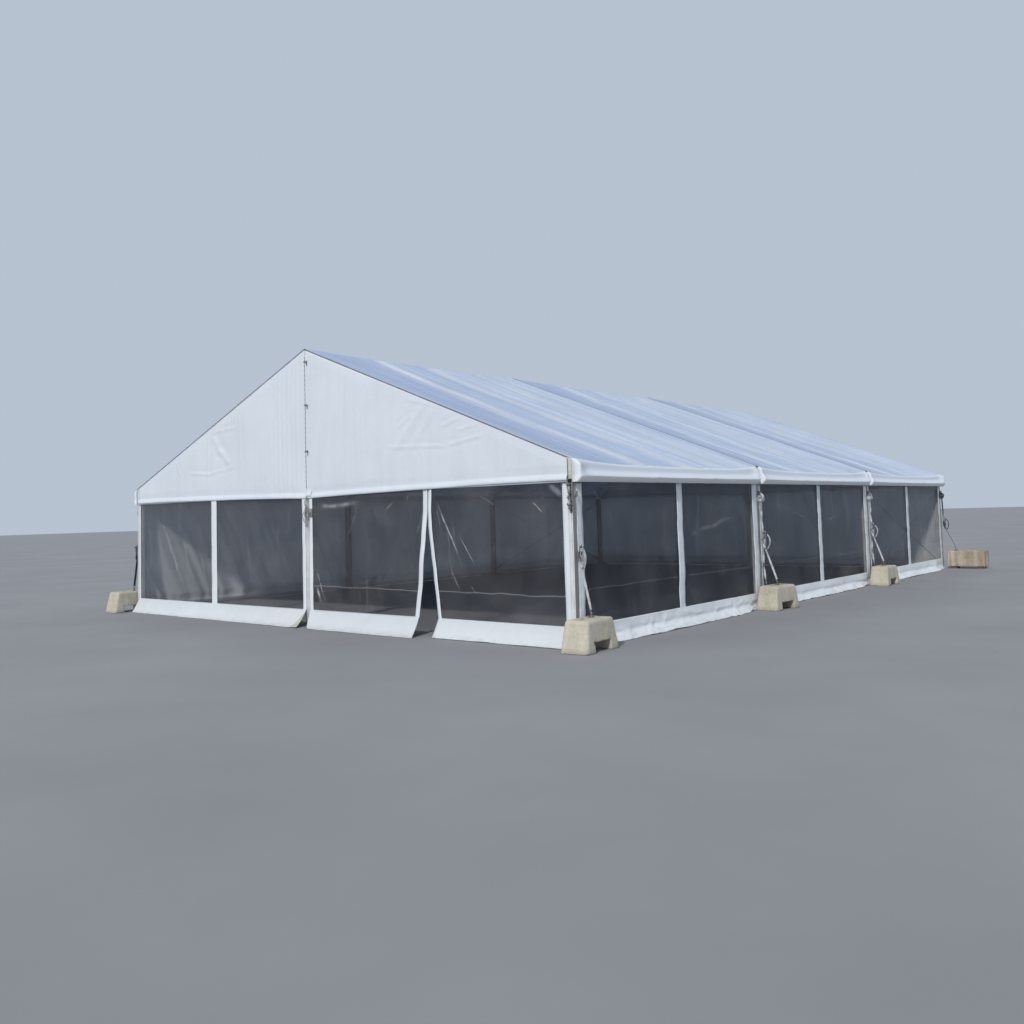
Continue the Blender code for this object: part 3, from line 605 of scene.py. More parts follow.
def roof_sheet(i):
    """Rows go from one fascia over the ridge to the other, columns along the bay."""
    low, high = FRAME_Y[i], FRAME_Y[i + 1]
    start = low + 0.006 if i else low - 0.047
    end = high - 0.006 if i < 2 else high + 0.047
    seat_start, seat_end = low + 0.045, high - 0.045
    span = seat_end - seat_start

    slope_x = np.linspace(0, SLOPE_END, 68)
    fascia = smooth_line(FASCIA_LINE)
    half = np.concatenate([np.stack([slope_x, RIDGE_HEIGHT - SLOPE * slope_x], axis=-1), fascia])
    fuller = np.concatenate([np.zeros((len(slope_x), 2)), smooth_line(FASCIA_END) - fascia])
    out, z = np.concatenate([half[:0:-1], half]).T[:, :, None]
    fuller_out, fuller_up = np.concatenate([fuller[:0:-1], fuller]).T[:, :, None]
    side = np.sign(np.arange(len(out)) - (len(half) - 1))[:, None]
    on_fascia = rise(out - SLOPE_END, 0.05) * (z < EAVE_HEIGHT)

    even = np.linspace(0, 1, 72)
    lead = np.array([0, 0.004, 0.014, 0.030])
    seats = seat_start + span * (even - 0.07 * np.sin(math.tau * even))
    along = np.concatenate([start + lead, seats, (end - lead)[::-1]])
    full = np.concatenate([[0, 0.72, 0.95, 1], np.ones(72), [1, 0.95, 0.72, 0]])
    filled = (swell(along - start, 0.15) * (1.0 if i == 0 else 0.55)
              + swell(end - along, 0.15) * (1.0 if i == 2 else 0.55))
    share = rise(along - seat_start, span)

    sag = np.interp(out, [0, 1.25, 5.03], [RIDGE_SAG, SLOPE_SAG, SLOPE_SAG])
    sag = sag * np.interp(z, [1.965, 2.05, 2.25, 2.3], [0, 0.12, 0.9, 1]) * (1 - np.abs(2 * share - 1) ** 4)
    free = np.sin(math.pi * share) ** 0.5 * rise(out, 0.4)
    y = np.broadcast_to(along, free.shape)
    wander = 0.10 * hills(out * 0.9, i * 5.0, 3) + 0.04 * hills(out * 3.1, i * 5.0, 4)
    folds = 0.0
    for k, seam in enumerate(SEAM_SHARES):
        away = y - seat_start - span * seam - wander * (1 - 0.6 * k)
        folds += 0.019 * swell(away, 0.070) - 0.012 * swell(away + 0.16, 0.10)
        folds += 0.011 * swell(away - 0.20, 0.05) * rise(hills(out * 0.8, k + 0.5, 9))
    for k in range(5):
        away = y - seat_start - span * (0.12 + 0.19 * k) - 0.35 * hills(out * 0.45, k * 3.7 + i, 5)
        folds += 0.012 * rise(0.3 + hills(out * 0.7, k * 2.3 + i * 9, 6)) * swell(away, 0.05 + 0.02 * k)
    for k, edge in enumerate((seat_start, seat_end)):
        away = np.abs(y - edge)
        folds += 0.004 * hills(out * 5.5, k + i * 2.0, 11) * np.exp(-away / 0.30) * rise(away, 0.10)
    ripple = 0.0022 * hills(out * 1.3 + 40, y * 2.4, 12) + 0.0012 * hills(out * 4, y * 6.0, 13)
    height = z + fuller_up * filled - sag + (folds + ripple * (1 - on_fascia)) * free * (1 - 0.75 * on_fascia)

    puckers = 0.006 * hills(y * 9.0, z * 14, 15) * np.exp(-np.minimum(share, 1 - share) / 0.035)
    puckers = puckers + 0.0035 * hills(y * 1.6, z * 6, 16)
    reach = out + fuller_out * filled - FASCIA_START
    shown = FASCIA_START + full * (reach + puckers * rise(reach, 0.04))
    across = np.where(out > FASCIA_START, shown, out) * side
    if i < 2:
        y = y - on_fascia * np.where(side > 0, FASCIA_SHORT, 0.02) * np.exp(-(end - y) / 0.35)
    cloth(f"roof_cover_{i + 1}", np.stack([across, y, height], axis=-1), (0, 0, 1), roof_cloth, f"roof_sheet_{i + 1}",
          CLOTH_SHOWN, flat=ROOF_FLAT, held="stretched",
          rests_on=[f"rafters_{i + 1}", f"rafters_{i + 2}", "eave_beam_left", "eave_beam_right"])


for i in range(3):
    roof_sheet(i)


# Gable sheets
# Two triangular halves at each end, slid into the outer grooves of the rafters and laced together
# over the centre post. Each has a stuffed hem along the bottom that hangs in front of the walls.
# The front pair still shows the creases it was packed in.

ENDS = (("front", -1), ("back", 1))
END_FACE = 7.535
SIDE_FACE = 4.9887
GABLE_SEAM = 0.004
GABLE_EDGE = 4.94
GABLE_TOP_INSET = 0.0246
GABLE_LOW_EDGE = 1.985
GABLE_LOW_MIDDLE = 1.925
HEM_HEIGHT = 0.09
HEM_BULGE = 0.018
HEM_ROUND = 0.28
GABLE_FACE = 0.0043
OVER_WALL = 0.0086
GABLE_FLAT = (5.0, 2.4)
GABLE_AREA = 6.9
LEFT_CREASES = ((-2.66, 3.14, -2.64, 2.22), (-1.73, 3.48, -1.71, 2.50), (-3.24, 2.47, -2.58, 2.42),
                (-2.70, 2.41, -1.86, 2.52), (-2.62, 3.13, -1.80, 3.16), (-3.64, 2.70, -3.52, 2.42))
LEFT_FOLDS = ((-2.47, 3.05, -2.25, 2.72), (-2.32, 2.84, -2.00, 2.56))
RIGHT_CREASES = ((1.80, 2.59, 2.96, 2.54), (2.96, 2.54, 3.62, 2.64), (2.20, 3.24, 2.76, 3.10), (2.02, 2.84, 2.30, 3.02),
                 (2.86, 2.80, 3.22, 2.90), (3.14, 2.72, 3.55, 2.80), (2.70, 3.12, 3.02, 3.04))
RIGHT_FOLDS = ((1.92, 2.50, 2.66, 3.24), (2.34, 2.56, 2.76, 3.14))
gable_cloth = sheet_cloth("gable_cloth", (0.76, 0.81, 0.87), (0.71, 0.765, 0.83), 0.10)


def on_face(face, along, out, z):
    """Points given as distance along a face of the tent, out from it and height, and the way that is outward."""
    sign = 1 if face in ("right", "back") else -1
    along, out, z = np.broadcast_arrays(along, out, z)
    if face in ("left", "right"):
        return np.stack([sign * (SIDE_FACE + out), along, z], axis=-1), (sign, 0, 0)
    return np.stack([along, sign * (END_FACE + out), z], axis=-1), (0, sign, 0)


def creased(u, v, lines, width, height):
    """Little ridges along straight lines, each fading at its ends, higher where they stand upright."""
    total = 0.0
    for u0, v0, u1, v1 in lines:
        length = math.hypot(u1 - u0, v1 - v0)
        part = ((u - u0) * (u1 - u0) + (v - v0) * (v1 - v0)) / length ** 2
        off = np.abs((u - u0) * (v1 - v0) - (v - v0) * (u1 - u0)) / length
        fade = rise(part, 0.12) * rise(1 - part, 0.12) * (1 + 0.4 * abs(v1 - v0) / length)
        total += height * fade * (swell(off, width) - 0.55 * swell(off - 2.2 * width, 1.6 * width))
    return total


def gable_half(end, end_sign, side, sign):
    """Rows go up from the hem to the rafter, columns out from the middle of the gable."""
    front = end == "front"
    columns, rows = (226, 62) if front else (150, 44)
    x = np.linspace(GABLE_SEAM, GABLE_EDGE, columns)
    low = GABLE_LOW_EDGE + (GABLE_LOW_MIDDLE - GABLE_LOW_EDGE) * (1 - np.linspace(0, 1, columns)) ** 2
    low = low + 0.004 * hills(x * 1.7, sign * 3.0 + end_sign, 21)
    hem = low + HEM_HEIGHT
    top = RIDGE_HEIGHT - SLOPE * x - GABLE_TOP_INSET
    z = np.concatenate([low + HEM_HEIGHT * np.linspace(0, 1, 12)[:-1, None],
                        hem + (top - hem) * np.linspace(0, 1, rows)[:, None]])
    across = np.broadcast_to(sign * x, z.shape)

    of_hem = rise(z - low, HEM_HEIGHT)
    fading = rise(of_hem - HEM_ROUND, 1 - HEM_ROUND)
    roll = np.sqrt(rise(1 - (rise(HEM_ROUND - of_hem) / 0.30) ** 2)) * (1 - fading ** 2 * (3 - 2 * fading))
    lumps = 0.0035 * hills(across * 4.5, end_sign * 2.0, 25) + 0.0016 * hills(across * 13, z * 9, 26)
    over = OVER_WALL + (GABLE_FACE - OVER_WALL) * rise(of_hem - 0.6, 0.4)
    weld = 0.0012 * (np.abs(x - 0.10) < 0.012) * (z > hem)

    soft = (0.0045 * hills(across * 1.1 + end_sign * 7, z * 1.2, 22)
            + 0.0022 * hills(across * 3.2, z * 2.2 + end_sign, 23))
    upright = 0.0032 * np.sin(math.tau * (across + 0.02 * hills(z * 1.5, 0, 24)) / 0.115)
    if front and side == "left":
        upright = upright * np.exp(-np.clip(x - 0.75, 0, 9) / 0.12) * rise(x - 0.08, 0.1)
    else:
        upright = 0.35 * upright * swell(x - 1.1, 0.5)
    if front:
        creases, broad = (LEFT_CREASES, LEFT_FOLDS) if side == "left" else (RIGHT_CREASES, RIGHT_FOLDS)
    else:
        broad = ()
        creases = [(sign * (0.9 * a + 0.5), b - 0.12, sign * (0.9 * c + 0.5), d - 0.12) for a, b, c, d in RIGHT_CREASES]
    folds = (soft + upright + creased(across, z, creases, 0.021, 0.0037)
             + creased(across, z, broad, 0.050, 0.0050) + 0.006)
    folds = folds * rise(z - hem, 0.10) * rise(top - z, 0.12) * rise(x - 0.02, 0.10) * rise(GABLE_EDGE - x, 0.10)
    out = over + (HEM_BULGE + lumps) * roll * (of_hem < 1) + folds + weld
    cloth(f"gable_cover_{end}_{side}", *on_face(end, across, out, z), gable_cloth, f"gable_sheet_{end}_{side}",
          CLOTH_SHOWN, flat=GABLE_FLAT, area=GABLE_AREA, held="stretched",
          rests_on=["rafters_1" if front else "rafters_4", f"gable_frame_{end}"])


for end, end_sign in ENDS:
    for side, sign in SIDES:
        gable_half(end, end_sign, side, sign)


# Groove strips and lacing
# Dark welts lock the sheets into the rafters. They show as a thin line under the roof's edge at the
# gables and between the roof sheets; at the gables that dark line is partly painted shadow, for the
# shade under the roof's edge. Webbing tabs close the joint between the gable's halves.

WELT = 0.008
WELT_FACE = 0.006
WELT_DROP = 0.0181
LACE_FACE = 0.0095
FLAP_FACE = 0.0105
TAB_FACE = 0.0125
TAB_HEIGHTS = (4.03, 3.36, 2.65)
rubber = mottled("groove_rubber", 0.7, 0.0, 60.0, 3.0, (0.35, (0.07, 0.07, 0.075)), (0.7, (0.17, 0.17, 0.175)), 0.0006)


def webbing(name, colour, dark):
    """Woven polyester strap: fine ribs across it, grubby in places."""
    made = Finish(name, 0.72)
    ribs = made.waves("Z", 130.0, 0.4)
    grubby = made.ramp(made.grain(17.0, 4.0), (0.34, dark), (0.6, colour))
    made.feed({"Base Color": made.shaded(grubby, 1.0, ribs, (0.1, 0.72), (0.5, 1.0))})
    made.bumped(ribs, 0.0008)
    return made.material


pale_webbing = webbing("pale_webbing", (0.66, 0.67, 0.69), (0.42, 0.43, 0.44))
dark_webbing = webbing("dark_webbing", (0.055, 0.058, 0.065), (0.02, 0.02, 0.024))
grey_webbing = webbing("grey_webbing", (0.26, 0.265, 0.275), (0.13, 0.13, 0.135))


def ribbon(points, width, flat_to=(0, 1, 0), twist=0.0, thickness=0.0025):
    """A flat strap along points. Its width lies along flat_to, turned by twist in radians on the way."""
    points = [Vector(p) for p in points]
    rings = []
    for k, point in enumerate(points):
        ahead = ahead_at(points, k)
        wide = Vector(flat_to)
        wide = (wide - ahead * wide.dot(ahead)).normalized()
        wide = Matrix.Rotation(twist * k / (len(points) - 1), 3, ahead) @ wide
        thin = ahead.cross(wide) * thickness / 2
        wide = wide * width / 2
        rings.append([point + wide + thin, point + wide - thin, point - wide - thin, point - wide + thin])
    return tube(rings)


def placed(end_sign, out_by=0.0, sign=1):
    """Places points given as distance across a gable, out from its face and height."""
    return lambda x, out, height: Vector((sign * x, end_sign * (END_FACE + out_by + out), height))


for end, end_sign in ENDS:
    parts = []
    for sign in (-1, 1):
        # Partly painted shadow: the gable welt and its upright run near the corner draw the dark shade line under the
        # roof's edge.
        at = placed(end_sign, WELT_FACE, sign)
        line = [at(x, 0, RIDGE_HEIGHT - SLOPE * x - WELT_DROP) for x in np.linspace(0.012, GABLE_EDGE - 0.002, 40)]
        upright = [at(GABLE_EDGE + 0.005, 0, z) for z in np.linspace(2.0, 2.255, 8)]
        radius = WELT / 2 if sign == -end_sign else WELT / 9
        parts += [run(line, radius, 6), run(upright, radius, 6)]
    fitting(f"gable_welt_{end}", parts, rubber.material, "pvc")

    x, z = np.linspace(0.004, 0.125, 9), np.linspace(1.955, 4.13, 90)[:, None]
    loose = 0.004 * hills(x * 8, z * 2.4, 27 + end_sign) + 0.0025 * hills(x * 20, z * 8, 28)
    out = FLAP_FACE + np.maximum(loose, -0.001) * rise(x, 0.05) + 0.018 * rise(2.05 - z, 0.06)
    cloth(f"gable_flap_{end}", *on_face(end, x, out, z), gable_cloth, None, 0.0015, flat=(0.121, 2.175), held="hung",
          rests_on=[f"gable_cover_{end}_left", f"gable_cover_{end}_right"])

    parts = []
    at = placed(end_sign, TAB_FACE)
    for k, z in enumerate(TAB_HEIGHTS):
        tab = [at(-0.022, 0.001, z + 0.004), at(-0.010, 0.003, z + 0.002), at(0.012, 0.008, z),
               at(0.040, 0.010, z - 0.003), at(0.064, 0.004, z - 0.004 - 0.004 * k)]
        end_down = [at(0.052, 0.008, z + 0.006), at(0.056, 0.009, z - 0.030), at(0.050, 0.006, z - 0.065)]
        parts.append(ribbon(curve_through(tab, 4), 0.020, (0, 0, 1), 0.0, 0.003))
        parts.append(ribbon(curve_through(end_down, 4), 0.014, (1, 0, 0), 0.3, 0.002))
        hoop = circle(at(0.052, 0.012, z - 0.004), Vector((0.015, 0, 0)), Vector((0, 0, 0.015)), 15)
        parts.append(run(hoop, 0.0028, 6))
    at = placed(end_sign, LACE_FACE)
    lace = [at(0.006 * (-1) ** k - 0.004, 0, z) for k, z in enumerate(np.linspace(2.08, 4.12, 56))]
    parts.append(run(lace, 0.003, 5))
    fitting(f"gable_lacing_{end}", parts, grey_webbing, "strap_webbing")
for i in (1, 2):
    parts = []
    for sign in (-1, 1):
        line = [(sign * x, FRAME_Y[i], RIDGE_HEIGHT - SLOPE * x - 0.0005) for x in np.linspace(0, 5.01, 40)]
        parts.append(run(line, 0.006, 6))
        parts.append(turned([(-0.02, 0.008), (0.012, 0.008), (0.018, 0.004)], line[-1], (sign, 0, -0.4), 10))
    fitting(f"roof_welt_{i + 1}", parts, rubber.material, "pvc")


# Walls with clear panes
# PVC frames with two clear film panes each, hung from the eave or the gable rail and slid into the
# leg grooves. Below the panes a skirt falls to the ground and lies out over it.

WALL_TOP = 2.0
LEAST_CUT = 0.302
TOP_BAND = 0.028
SKIRT_TOP = 0.25
SKIRT_SIDE_REACH = 0.14
SKIRT_NARROW = 0.04
LYING_HEIGHT = 0.0045
COLUMN_STEP = 0.034
BLOCK_HALF = 0.37
WALL_GAP = 0.0353
WALL_SHOWN = 0.002
CLOTH_OUT = 0.0085
MIDDLE_STRIP = 0.155
SIDE_DROP = ((0.0, 0.250), (0.04, 0.215), (0.09, 0.175), (0.10, 0.140), (0.07, 0.112), (0.13, 0.086), (0.28, 0.058),
             (0.46, 0.034), (0.66, 0.014), (0.84, 0.0065), (1.0, 0.006))
FRONT_DROP = ((0.0, 0.250), (0.11, 0.214), (0.27, 0.166), (0.45, 0.116), (0.63, 0.068), (0.80, 0.030),
              (0.92, 0.011), (1.0, 0.006))
WINDOW_ROWS = np.concatenate([[WALL_TOP, WALL_TOP - 0.03], np.linspace(WALL_TOP - TOP_BAND, SKIRT_TOP, 47)])
wall_cloth = sheet_cloth("wall_cloth", (0.88, 0.915, 0.95), (0.81, 0.85, 0.89), 0.15, 0.92, crumple=0.004)
plain_cloth = sheet_cloth("plain_cloth", (0.88, 0.915, 0.95), (0.81, 0.85, 0.89), 0.25, 0.92, crumple=0.004)


def shaded_turned_corner(made, colour):
    """Painted shade in a greenish grey on the skirt's corner beside the centre post, which is turned over."""
    amount = 1.0
    for x_share, z_share, start, end in ((1, -0.30, -0.105, -0.095), (1, 0.68, 0.150, 0.135), (0, 1, 0.245, 0.225)):
        across = made.math("MULTIPLY", made.coordinate("X"), x_share)
        line = made.math("MULTIPLY_ADD", made.coordinate("Z"), z_share, across)
        amount = made.math("MULTIPLY", made.between(line, start, end), amount)
    # Painted shade on the turned-over corner.
    return made.blended(amount, colour, (0.60, 0.66, 0.58))


front_cloth = sheet_cloth("front_cloth", (0.84, 0.875, 0.91), (0.78, 0.825, 0.865), 0.13, 0.79, shaded_turned_corner)


def places(stops, step):
    """Places from the first stop to the last, no further apart than step and with every stop among them."""
    line = [stops[0]]
    for low, high in zip(stops, stops[1:]):
        count = max(2, math.ceil((high - low) / step))
        line += list(low + (high - low) * np.arange(1, count + 1) / count)
    return np.array(line)


def crumpled(u, v, seed):
    """Sharp crossing ridges from 0 to 1, as in cloth that was stored folded."""
    first = 1 - np.abs(hills(u, v, seed))
    second = 1 - np.abs(hills(u * 2.3 + v, v * 1.9 - u * 0.6, seed + 1))
    return 0.65 * first ** 6 + 0.35 * second ** 5


def skirt(along, narrow, reach, line, seed, wild):
    """How far out and how high the skirt's rows lie below its top edge, and each row's share of the way down.

    reach is how far out it lies at its two ends. It is drawn in over each narrow stretch, given as
    (edge, way it opens, over what length).
    """
    share = np.ones_like(along)
    for edge, way, spread in narrow:
        share = np.minimum(share, rise(way * (along - edge), spread))
    reach = SKIRT_NARROW + (np.interp(along, (along.min(), along.max()), reach) - SKIRT_NARROW) * share
    drop = smooth_line(line, 2)[1:]
    down = np.linspace(0, 1, len(drop))[:, None]
    lean = along + 0.5 * down * hills(along * 0.9, seed, 33)
    ragged = 1 + wild * (0.13 * hills(along * 1.4, seed, 31) + 0.04 * hills(along * 6.5, seed, 32)) * down
    hanging = np.sin(math.pi * down ** 0.8)
    out = drop[:, :1] * reach * ragged
    out = out + wild * (0.008 * hills(lean * 4.0, down * 1.4 + seed, 34)
                        + 0.013 * crumpled(lean * 3.2, down * 1.6 + seed, 35)) * hanging
    lying = rise(down - 0.5, 0.2) * rise(1.06 - down, 0.15) * (drop[:, 1:] > 0.0046)
    z = drop[:, 1:] + wild * (0.018 * crumpled(lean * 3.6, down * 2.0 + seed, 37)
                              + 0.010 * np.abs(hills(lean * 1.7, seed, 39))) * lying
    return out, np.maximum(z, LYING_HEIGHT), down


def frame_cells(along, strips, skirt_rows):
    """The cells of a windowed wall that are cloth: its upright strips, its top band and its skirt."""
    middles = (along[1:] + along[:-1]) / 2
    on_strip = sum((middles > low) & (middles < high) for low, high in strips) > 0
    row_middles = (WINDOW_ROWS[1:] + WINDOW_ROWS[:-1]) / 2
    solid_rows = np.concatenate([row_middles > WALL_TOP - TOP_BAND, np.ones(skirt_rows, bool)])
    return on_strip | solid_rows[:, None]


def hang(name, face, along, out, z, drape, drape_along, look, cad_node, carried_by, flat, kept=None, **cut):
    """A wall sheet from its upright part and its draped skirt, which starts where the upright part ends."""
    drape_out, drape_z, down = drape
    drape_out = drape_out + CLOTH_OUT + (out[-1:] - CLOTH_OUT) * (1 - down)
    grids = [np.concatenate([np.broadcast_to(upper, z.shape), np.broadcast_to(lower, drape_z.shape)])
             for upper, lower in ((along, drape_along), (out, drape_out), (z, drape_z))]
    cloth(name, *on_face(face, *grids), look, cad_node, WALL_SHOWN, kept, flat=flat, held="hung",
          rests_on=carried_by, **cut)


def pulled(count, by, power):
    """How far each place along the skirt's foot is pulled towards the corner on the side of by's sign."""
    return by * rise(np.linspace(-1, 1, count) * np.sign(by)) ** power


def windowed_wall(name, face, stops, narrow, reach, line, corner, seed, wild, cad_node, carried_by, look, ear=0):
    """stops are both edges of each upright strip. The panes lie between the strips.

    ear is how far from its end the skirt's corner starts to be turned over.
    """
    along = places(stops, COLUMN_STEP)
    z = WINDOW_ROWS[:, None]
    free = rise(WALL_TOP - 0.05 - z, 0.2)
    wave = 0.0030 * hills(along * 3.0 + seed, z * 4.5, 41) + wild * 0.0026 * hills(along * 9, z * 12.0 + seed, 42)
    inside = (along - stops[0]) * (stops[-1] - along) > 1e-9
    sway = wild * 0.006 * hills(np.round(along), z * 2.4 + seed, 43) * free * inside
    out, drape_z, down = skirt(along, narrow, reach, line, seed, wild)
    if ear:
        folded = rise(along - (stops[-1] - ear * down), ear)
        drape_z = drape_z + (0.012 * down + 0.012 * crumpled(along * 14, down * 2, 58)) * folded
    width, height = stops[-1] - stops[0], WALL_TOP - SKIRT_TOP + math.hypot(SKIRT_TOP, max(reach))
    hang(name, face, along + sway, CLOTH_OUT + wave * free, np.broadcast_to(z, wave.shape), (out, drape_z, down),
         along + down * pulled(len(along), corner, 9), look, cad_node, carried_by, (width, height),
         frame_cells(along, zip(stops[::2], stops[1::2]), len(drape_z)), area=LEAST_CUT * width * height)


def bay(i):
    """Where the walls of a bay start and end, and where their skirts are drawn in beside the blocks."""
    low, high = FRAME_Y[i] + WALL_GAP, FRAME_Y[i + 1] - WALL_GAP
    return low, high, ((low + BLOCK_HALF, 1, 0.3), (high - BLOCK_HALF, -1, 0.3))


for i, (first, last) in enumerate(((0.13, 0.17), (0.06, 0.17), (0.06, 0.12))):
    low, high, narrow = bay(i)
    middle = (low + high) / 2
    windowed_wall(f"wall_cover_right_{i + 1}", "right",
                  (low, low + first, middle - MIDDLE_STRIP / 2, middle + MIDDLE_STRIP / 2, high - last, high), narrow,
                  (SKIRT_SIDE_REACH, SKIRT_SIDE_REACH), SIDE_DROP, 0, 3.1 + 4.7 * i, 1.9, f"wall_right_{i + 1}",
                  ["eave_beam_right", f"leg_right_{i + 1}", f"leg_right_{i + 2}"], wall_cloth)
windowed_wall("wall_cover_front_left", "front",
              (-4.94, -4.875, -2.49 - MIDDLE_STRIP / 2, -2.49 + MIDDLE_STRIP / 2, -0.12, -0.04),
              (), (0.15, 0.29), FRONT_DROP, 0.13, 8.6, 0.35, "wall_front_left",
              ["gable_frame_front", "leg_left_1"], front_cloth, 0.20)


# Plain walls
# Unbroken PVC sheets on the left and the back, hung the same way. They fall in upright folds
# that loosen towards the ground.

PLAIN_DROP = 2.1


def plain_wall(name, face, start, end, narrow, corner, seed, cad_node, carried_by, fullness, inward, lean=0.0,
               stand=0.0):
    """inward is how far folds may stand into the tent, lean how far they shift for each metre down.

    stand is how far the whole sheet stands out where it hangs free.
    """
    along = places((start, start + 0.06, end - 0.06, end), 0.046)
    z = np.concatenate([[WALL_TOP, WALL_TOP - 0.02], np.linspace(WALL_TOP - 0.05, SKIRT_TOP, 40)])[:, None]
    free = rise(WALL_TOP - 0.02 - z, 1.2) ** 0.7
    drift = along + 0.10 * hills(along * 0.8, z * 0.6 + seed, 51) + lean * (z - WALL_TOP)
    folds = fullness * (0.010 * hills(drift * 4.2, z * 0.35 + seed, 52) + 0.005 * hills(drift * 9, z * 0.6, 53))
    folds = folds + 0.003 * hills(along * 2.5, z * 3.5 + seed, 54) + stand
    pucker = 0.004 * hills(along * 9, seed, 55) * np.exp(-(WALL_TOP - z) / 0.18)
    lift = (folds * free + pucker) * rise(np.minimum(along - start, end - along), 0.12)
    drape = skirt(along, narrow, (SKIRT_SIDE_REACH, SKIRT_SIDE_REACH), SIDE_DROP, seed, 0.9)
    hang(name, face, along, CLOTH_OUT + np.maximum(lift, -inward), np.broadcast_to(z, lift.shape), drape,
         along + drape[2] * pulled(len(along), corner, 12), plain_cloth, cad_node, carried_by,
         (end - start, PLAIN_DROP))


for i, (fullness, inward, lean) in enumerate(((5.0, 0.065, 0.42), (2.6, 0.045, 0.10), (2.2, 0.020, -0.08))):
    plain_wall(f"wall_cover_left_{i + 1}", "left", *bay(i), 0, 1.7 + 5.3 * i, f"wall_left_{i + 1}",
               ["eave_beam_left", f"leg_left_{i + 1}", f"leg_left_{i + 2}"], fullness, inward, lean)
for side, sign in SIDES:
    start, end = sorted((sign * 0.04, sign * 4.94))
    plain_wall(f"wall_cover_back_{side}", "back", start, end, ((sign * 4.82, -sign, 1.2),), sign * 0.08,
               24.0 + 3 * sign, f"wall_back_{side}", ["gable_frame_back", f"leg_{side}_4"], 2.0, 0.003, stand=0.022)


# Entrance curtains
# Two windowed curtains on the right half of the front. They meet under the gable hem and their
# free edges swing apart towards the ground, where the skirts lie out over it.

MEET_X = 2.592
MEET_GAP = 0.012
LEFT_SWEEP = 0.21
RIGHT_SWEEP = 0.14
TURNED_HEM = ((0.86, LYING_HEIGHT), (0.72, LYING_HEIGHT))


def free_edge(away, sweep, z):
    return MEET_X + away * (MEET_GAP / 2 + sweep * rise(WALL_TOP - z, WALL_TOP - SKIRT_TOP) ** 1.7)


def curtain(side, away, sweep, fixed, fixed_strip, free_strip, reach, line, drawn, seed):
    """drawn is how far along the front the skirt's two lower corners are pulled, the fixed one first."""
    width = abs(MEET_X - fixed)
    stops = (0.0, fixed_strip / width, 1 - free_strip / width, 1.0)
    share = places(stops, COLUMN_STEP / width)
    z = WINDOW_ROWS[:, None]
    x = fixed + (free_edge(away, sweep, z) - fixed) * share
    wave = 0.003 * hills(x * 3 + seed, z * 4.0, 61) + 0.0025 * hills(x * 10, z * 7.0 + seed, 62)
    roll = rise(share - 0.6, 0.4) * (0.022 * np.sin(z * 3.1 + seed) + 0.012 * hills(z * 4.0, seed, 63))
    free = rise(WALL_TOP - 0.04 - z, 0.25)
    foot = fixed + (free_edge(away, sweep, SKIRT_TOP) - fixed) * share
    drape = skirt(foot, (), (reach, reach), line, seed, 0.35)
    height = WALL_TOP - SKIRT_TOP + math.hypot(SKIRT_TOP, reach) + reach * (1 - line[-1][0])
    hang(f"curtain_cover_{side}", "front", x, CLOTH_OUT + wave * free + np.maximum(roll * free, -0.004),
         np.broadcast_to(z, x.shape), drape, foot + drape[2] * (drawn[0] * (1 - share) ** 4 + drawn[1] * share ** 3),
         front_cloth, f"curtain_{side}", ["gable_frame_front"], (width, height),
         frame_cells(share, (stops[:2], stops[2:]), len(drape[1])), area=LEAST_CUT * width * height)


curtain("left", -1, LEFT_SWEEP, 0.04, 0.09, 0.085, 0.29, FRONT_DROP, (0.30, 0.16), 4.4)
curtain("right", 1, RIGHT_SWEEP, 4.94, 0.085, 0.062, 0.15, FRONT_DROP + TURNED_HEM, (-0.06, 0.0), 9.8)


# Clear film
# Flexible clear PVC welded behind the openings of the wall sheets. It waves where it hangs slack.
# Its slight grey is painted shade that darkens the view into the tent, and its creases carry
# painted highlights where they catch the light.

FILM_SHOWN = 0.0015
FILM_BACK = -0.004
FILM_TOP = 1.99
FILM_LOW = 0.235
FILM_IN = 0.046
FILM_ROWS = np.linspace(FILM_TOP, FILM_LOW, 46)
SIDE_WELD = 0.67
FRONT_WELD = 0.60
# Painted highlights along the films' creases, as (along, height, along, height, width, strength).
FRONT_LINES = ((-4.60, 1.80, -4.52, 0.40, 0.020, 0.22), (-4.20, 1.72, -3.30, 0.24, 0.075, 0.34),
               (-3.48, 1.42, -3.20, 0.50, 0.060, 0.28), (-2.98, 1.12, -2.70, 0.50, 0.050, 0.24),
               (-1.60, 1.50, -1.45, 0.35, 0.025, 0.18), (-0.70, 1.85, -0.80, 0.70, 0.020, 0.15))
CURTAIN_LINES = ((2.71, 1.84, 3.22, 0.89, 0.022, 0.62), (3.12, 1.36, 3.45, 0.89, 0.014, 0.50),
                 (2.73, 1.73, 2.83, 1.34, 0.014, 0.40), (2.96, 0.93, 3.15, 0.58, 0.018, 0.40),
                 (4.36, 1.76, 4.58, 1.58, 0.016, 0.45), (3.30, 0.70, 3.46, 0.54, 0.012, 0.35),
                 (4.62, 1.97, 4.90, 1.78, 0.060, 0.45), (3.40, 1.93, 3.95, 1.62, 0.012, 0.18),
                 (2.90, 1.60, 3.00, 0.80, 0.012, 0.22), (2.52, 1.76, 2.30, 1.26, 0.014, 0.30),
                 (2.23, 1.94, 2.13, 1.77, 0.014, 0.32), (1.68, 1.69, 1.94, 1.86, 0.016, 0.30),
                 (0.20, 1.79, 1.30, 1.84, 0.055, 0.42), (0.18, 0.86, 0.42, 0.30, 0.016, 0.45),
                 (0.19, 0.60, 0.31, 0.33, 0.040, 0.60), (1.20, 1.90, 0.80, 1.10, 0.020, 0.14))
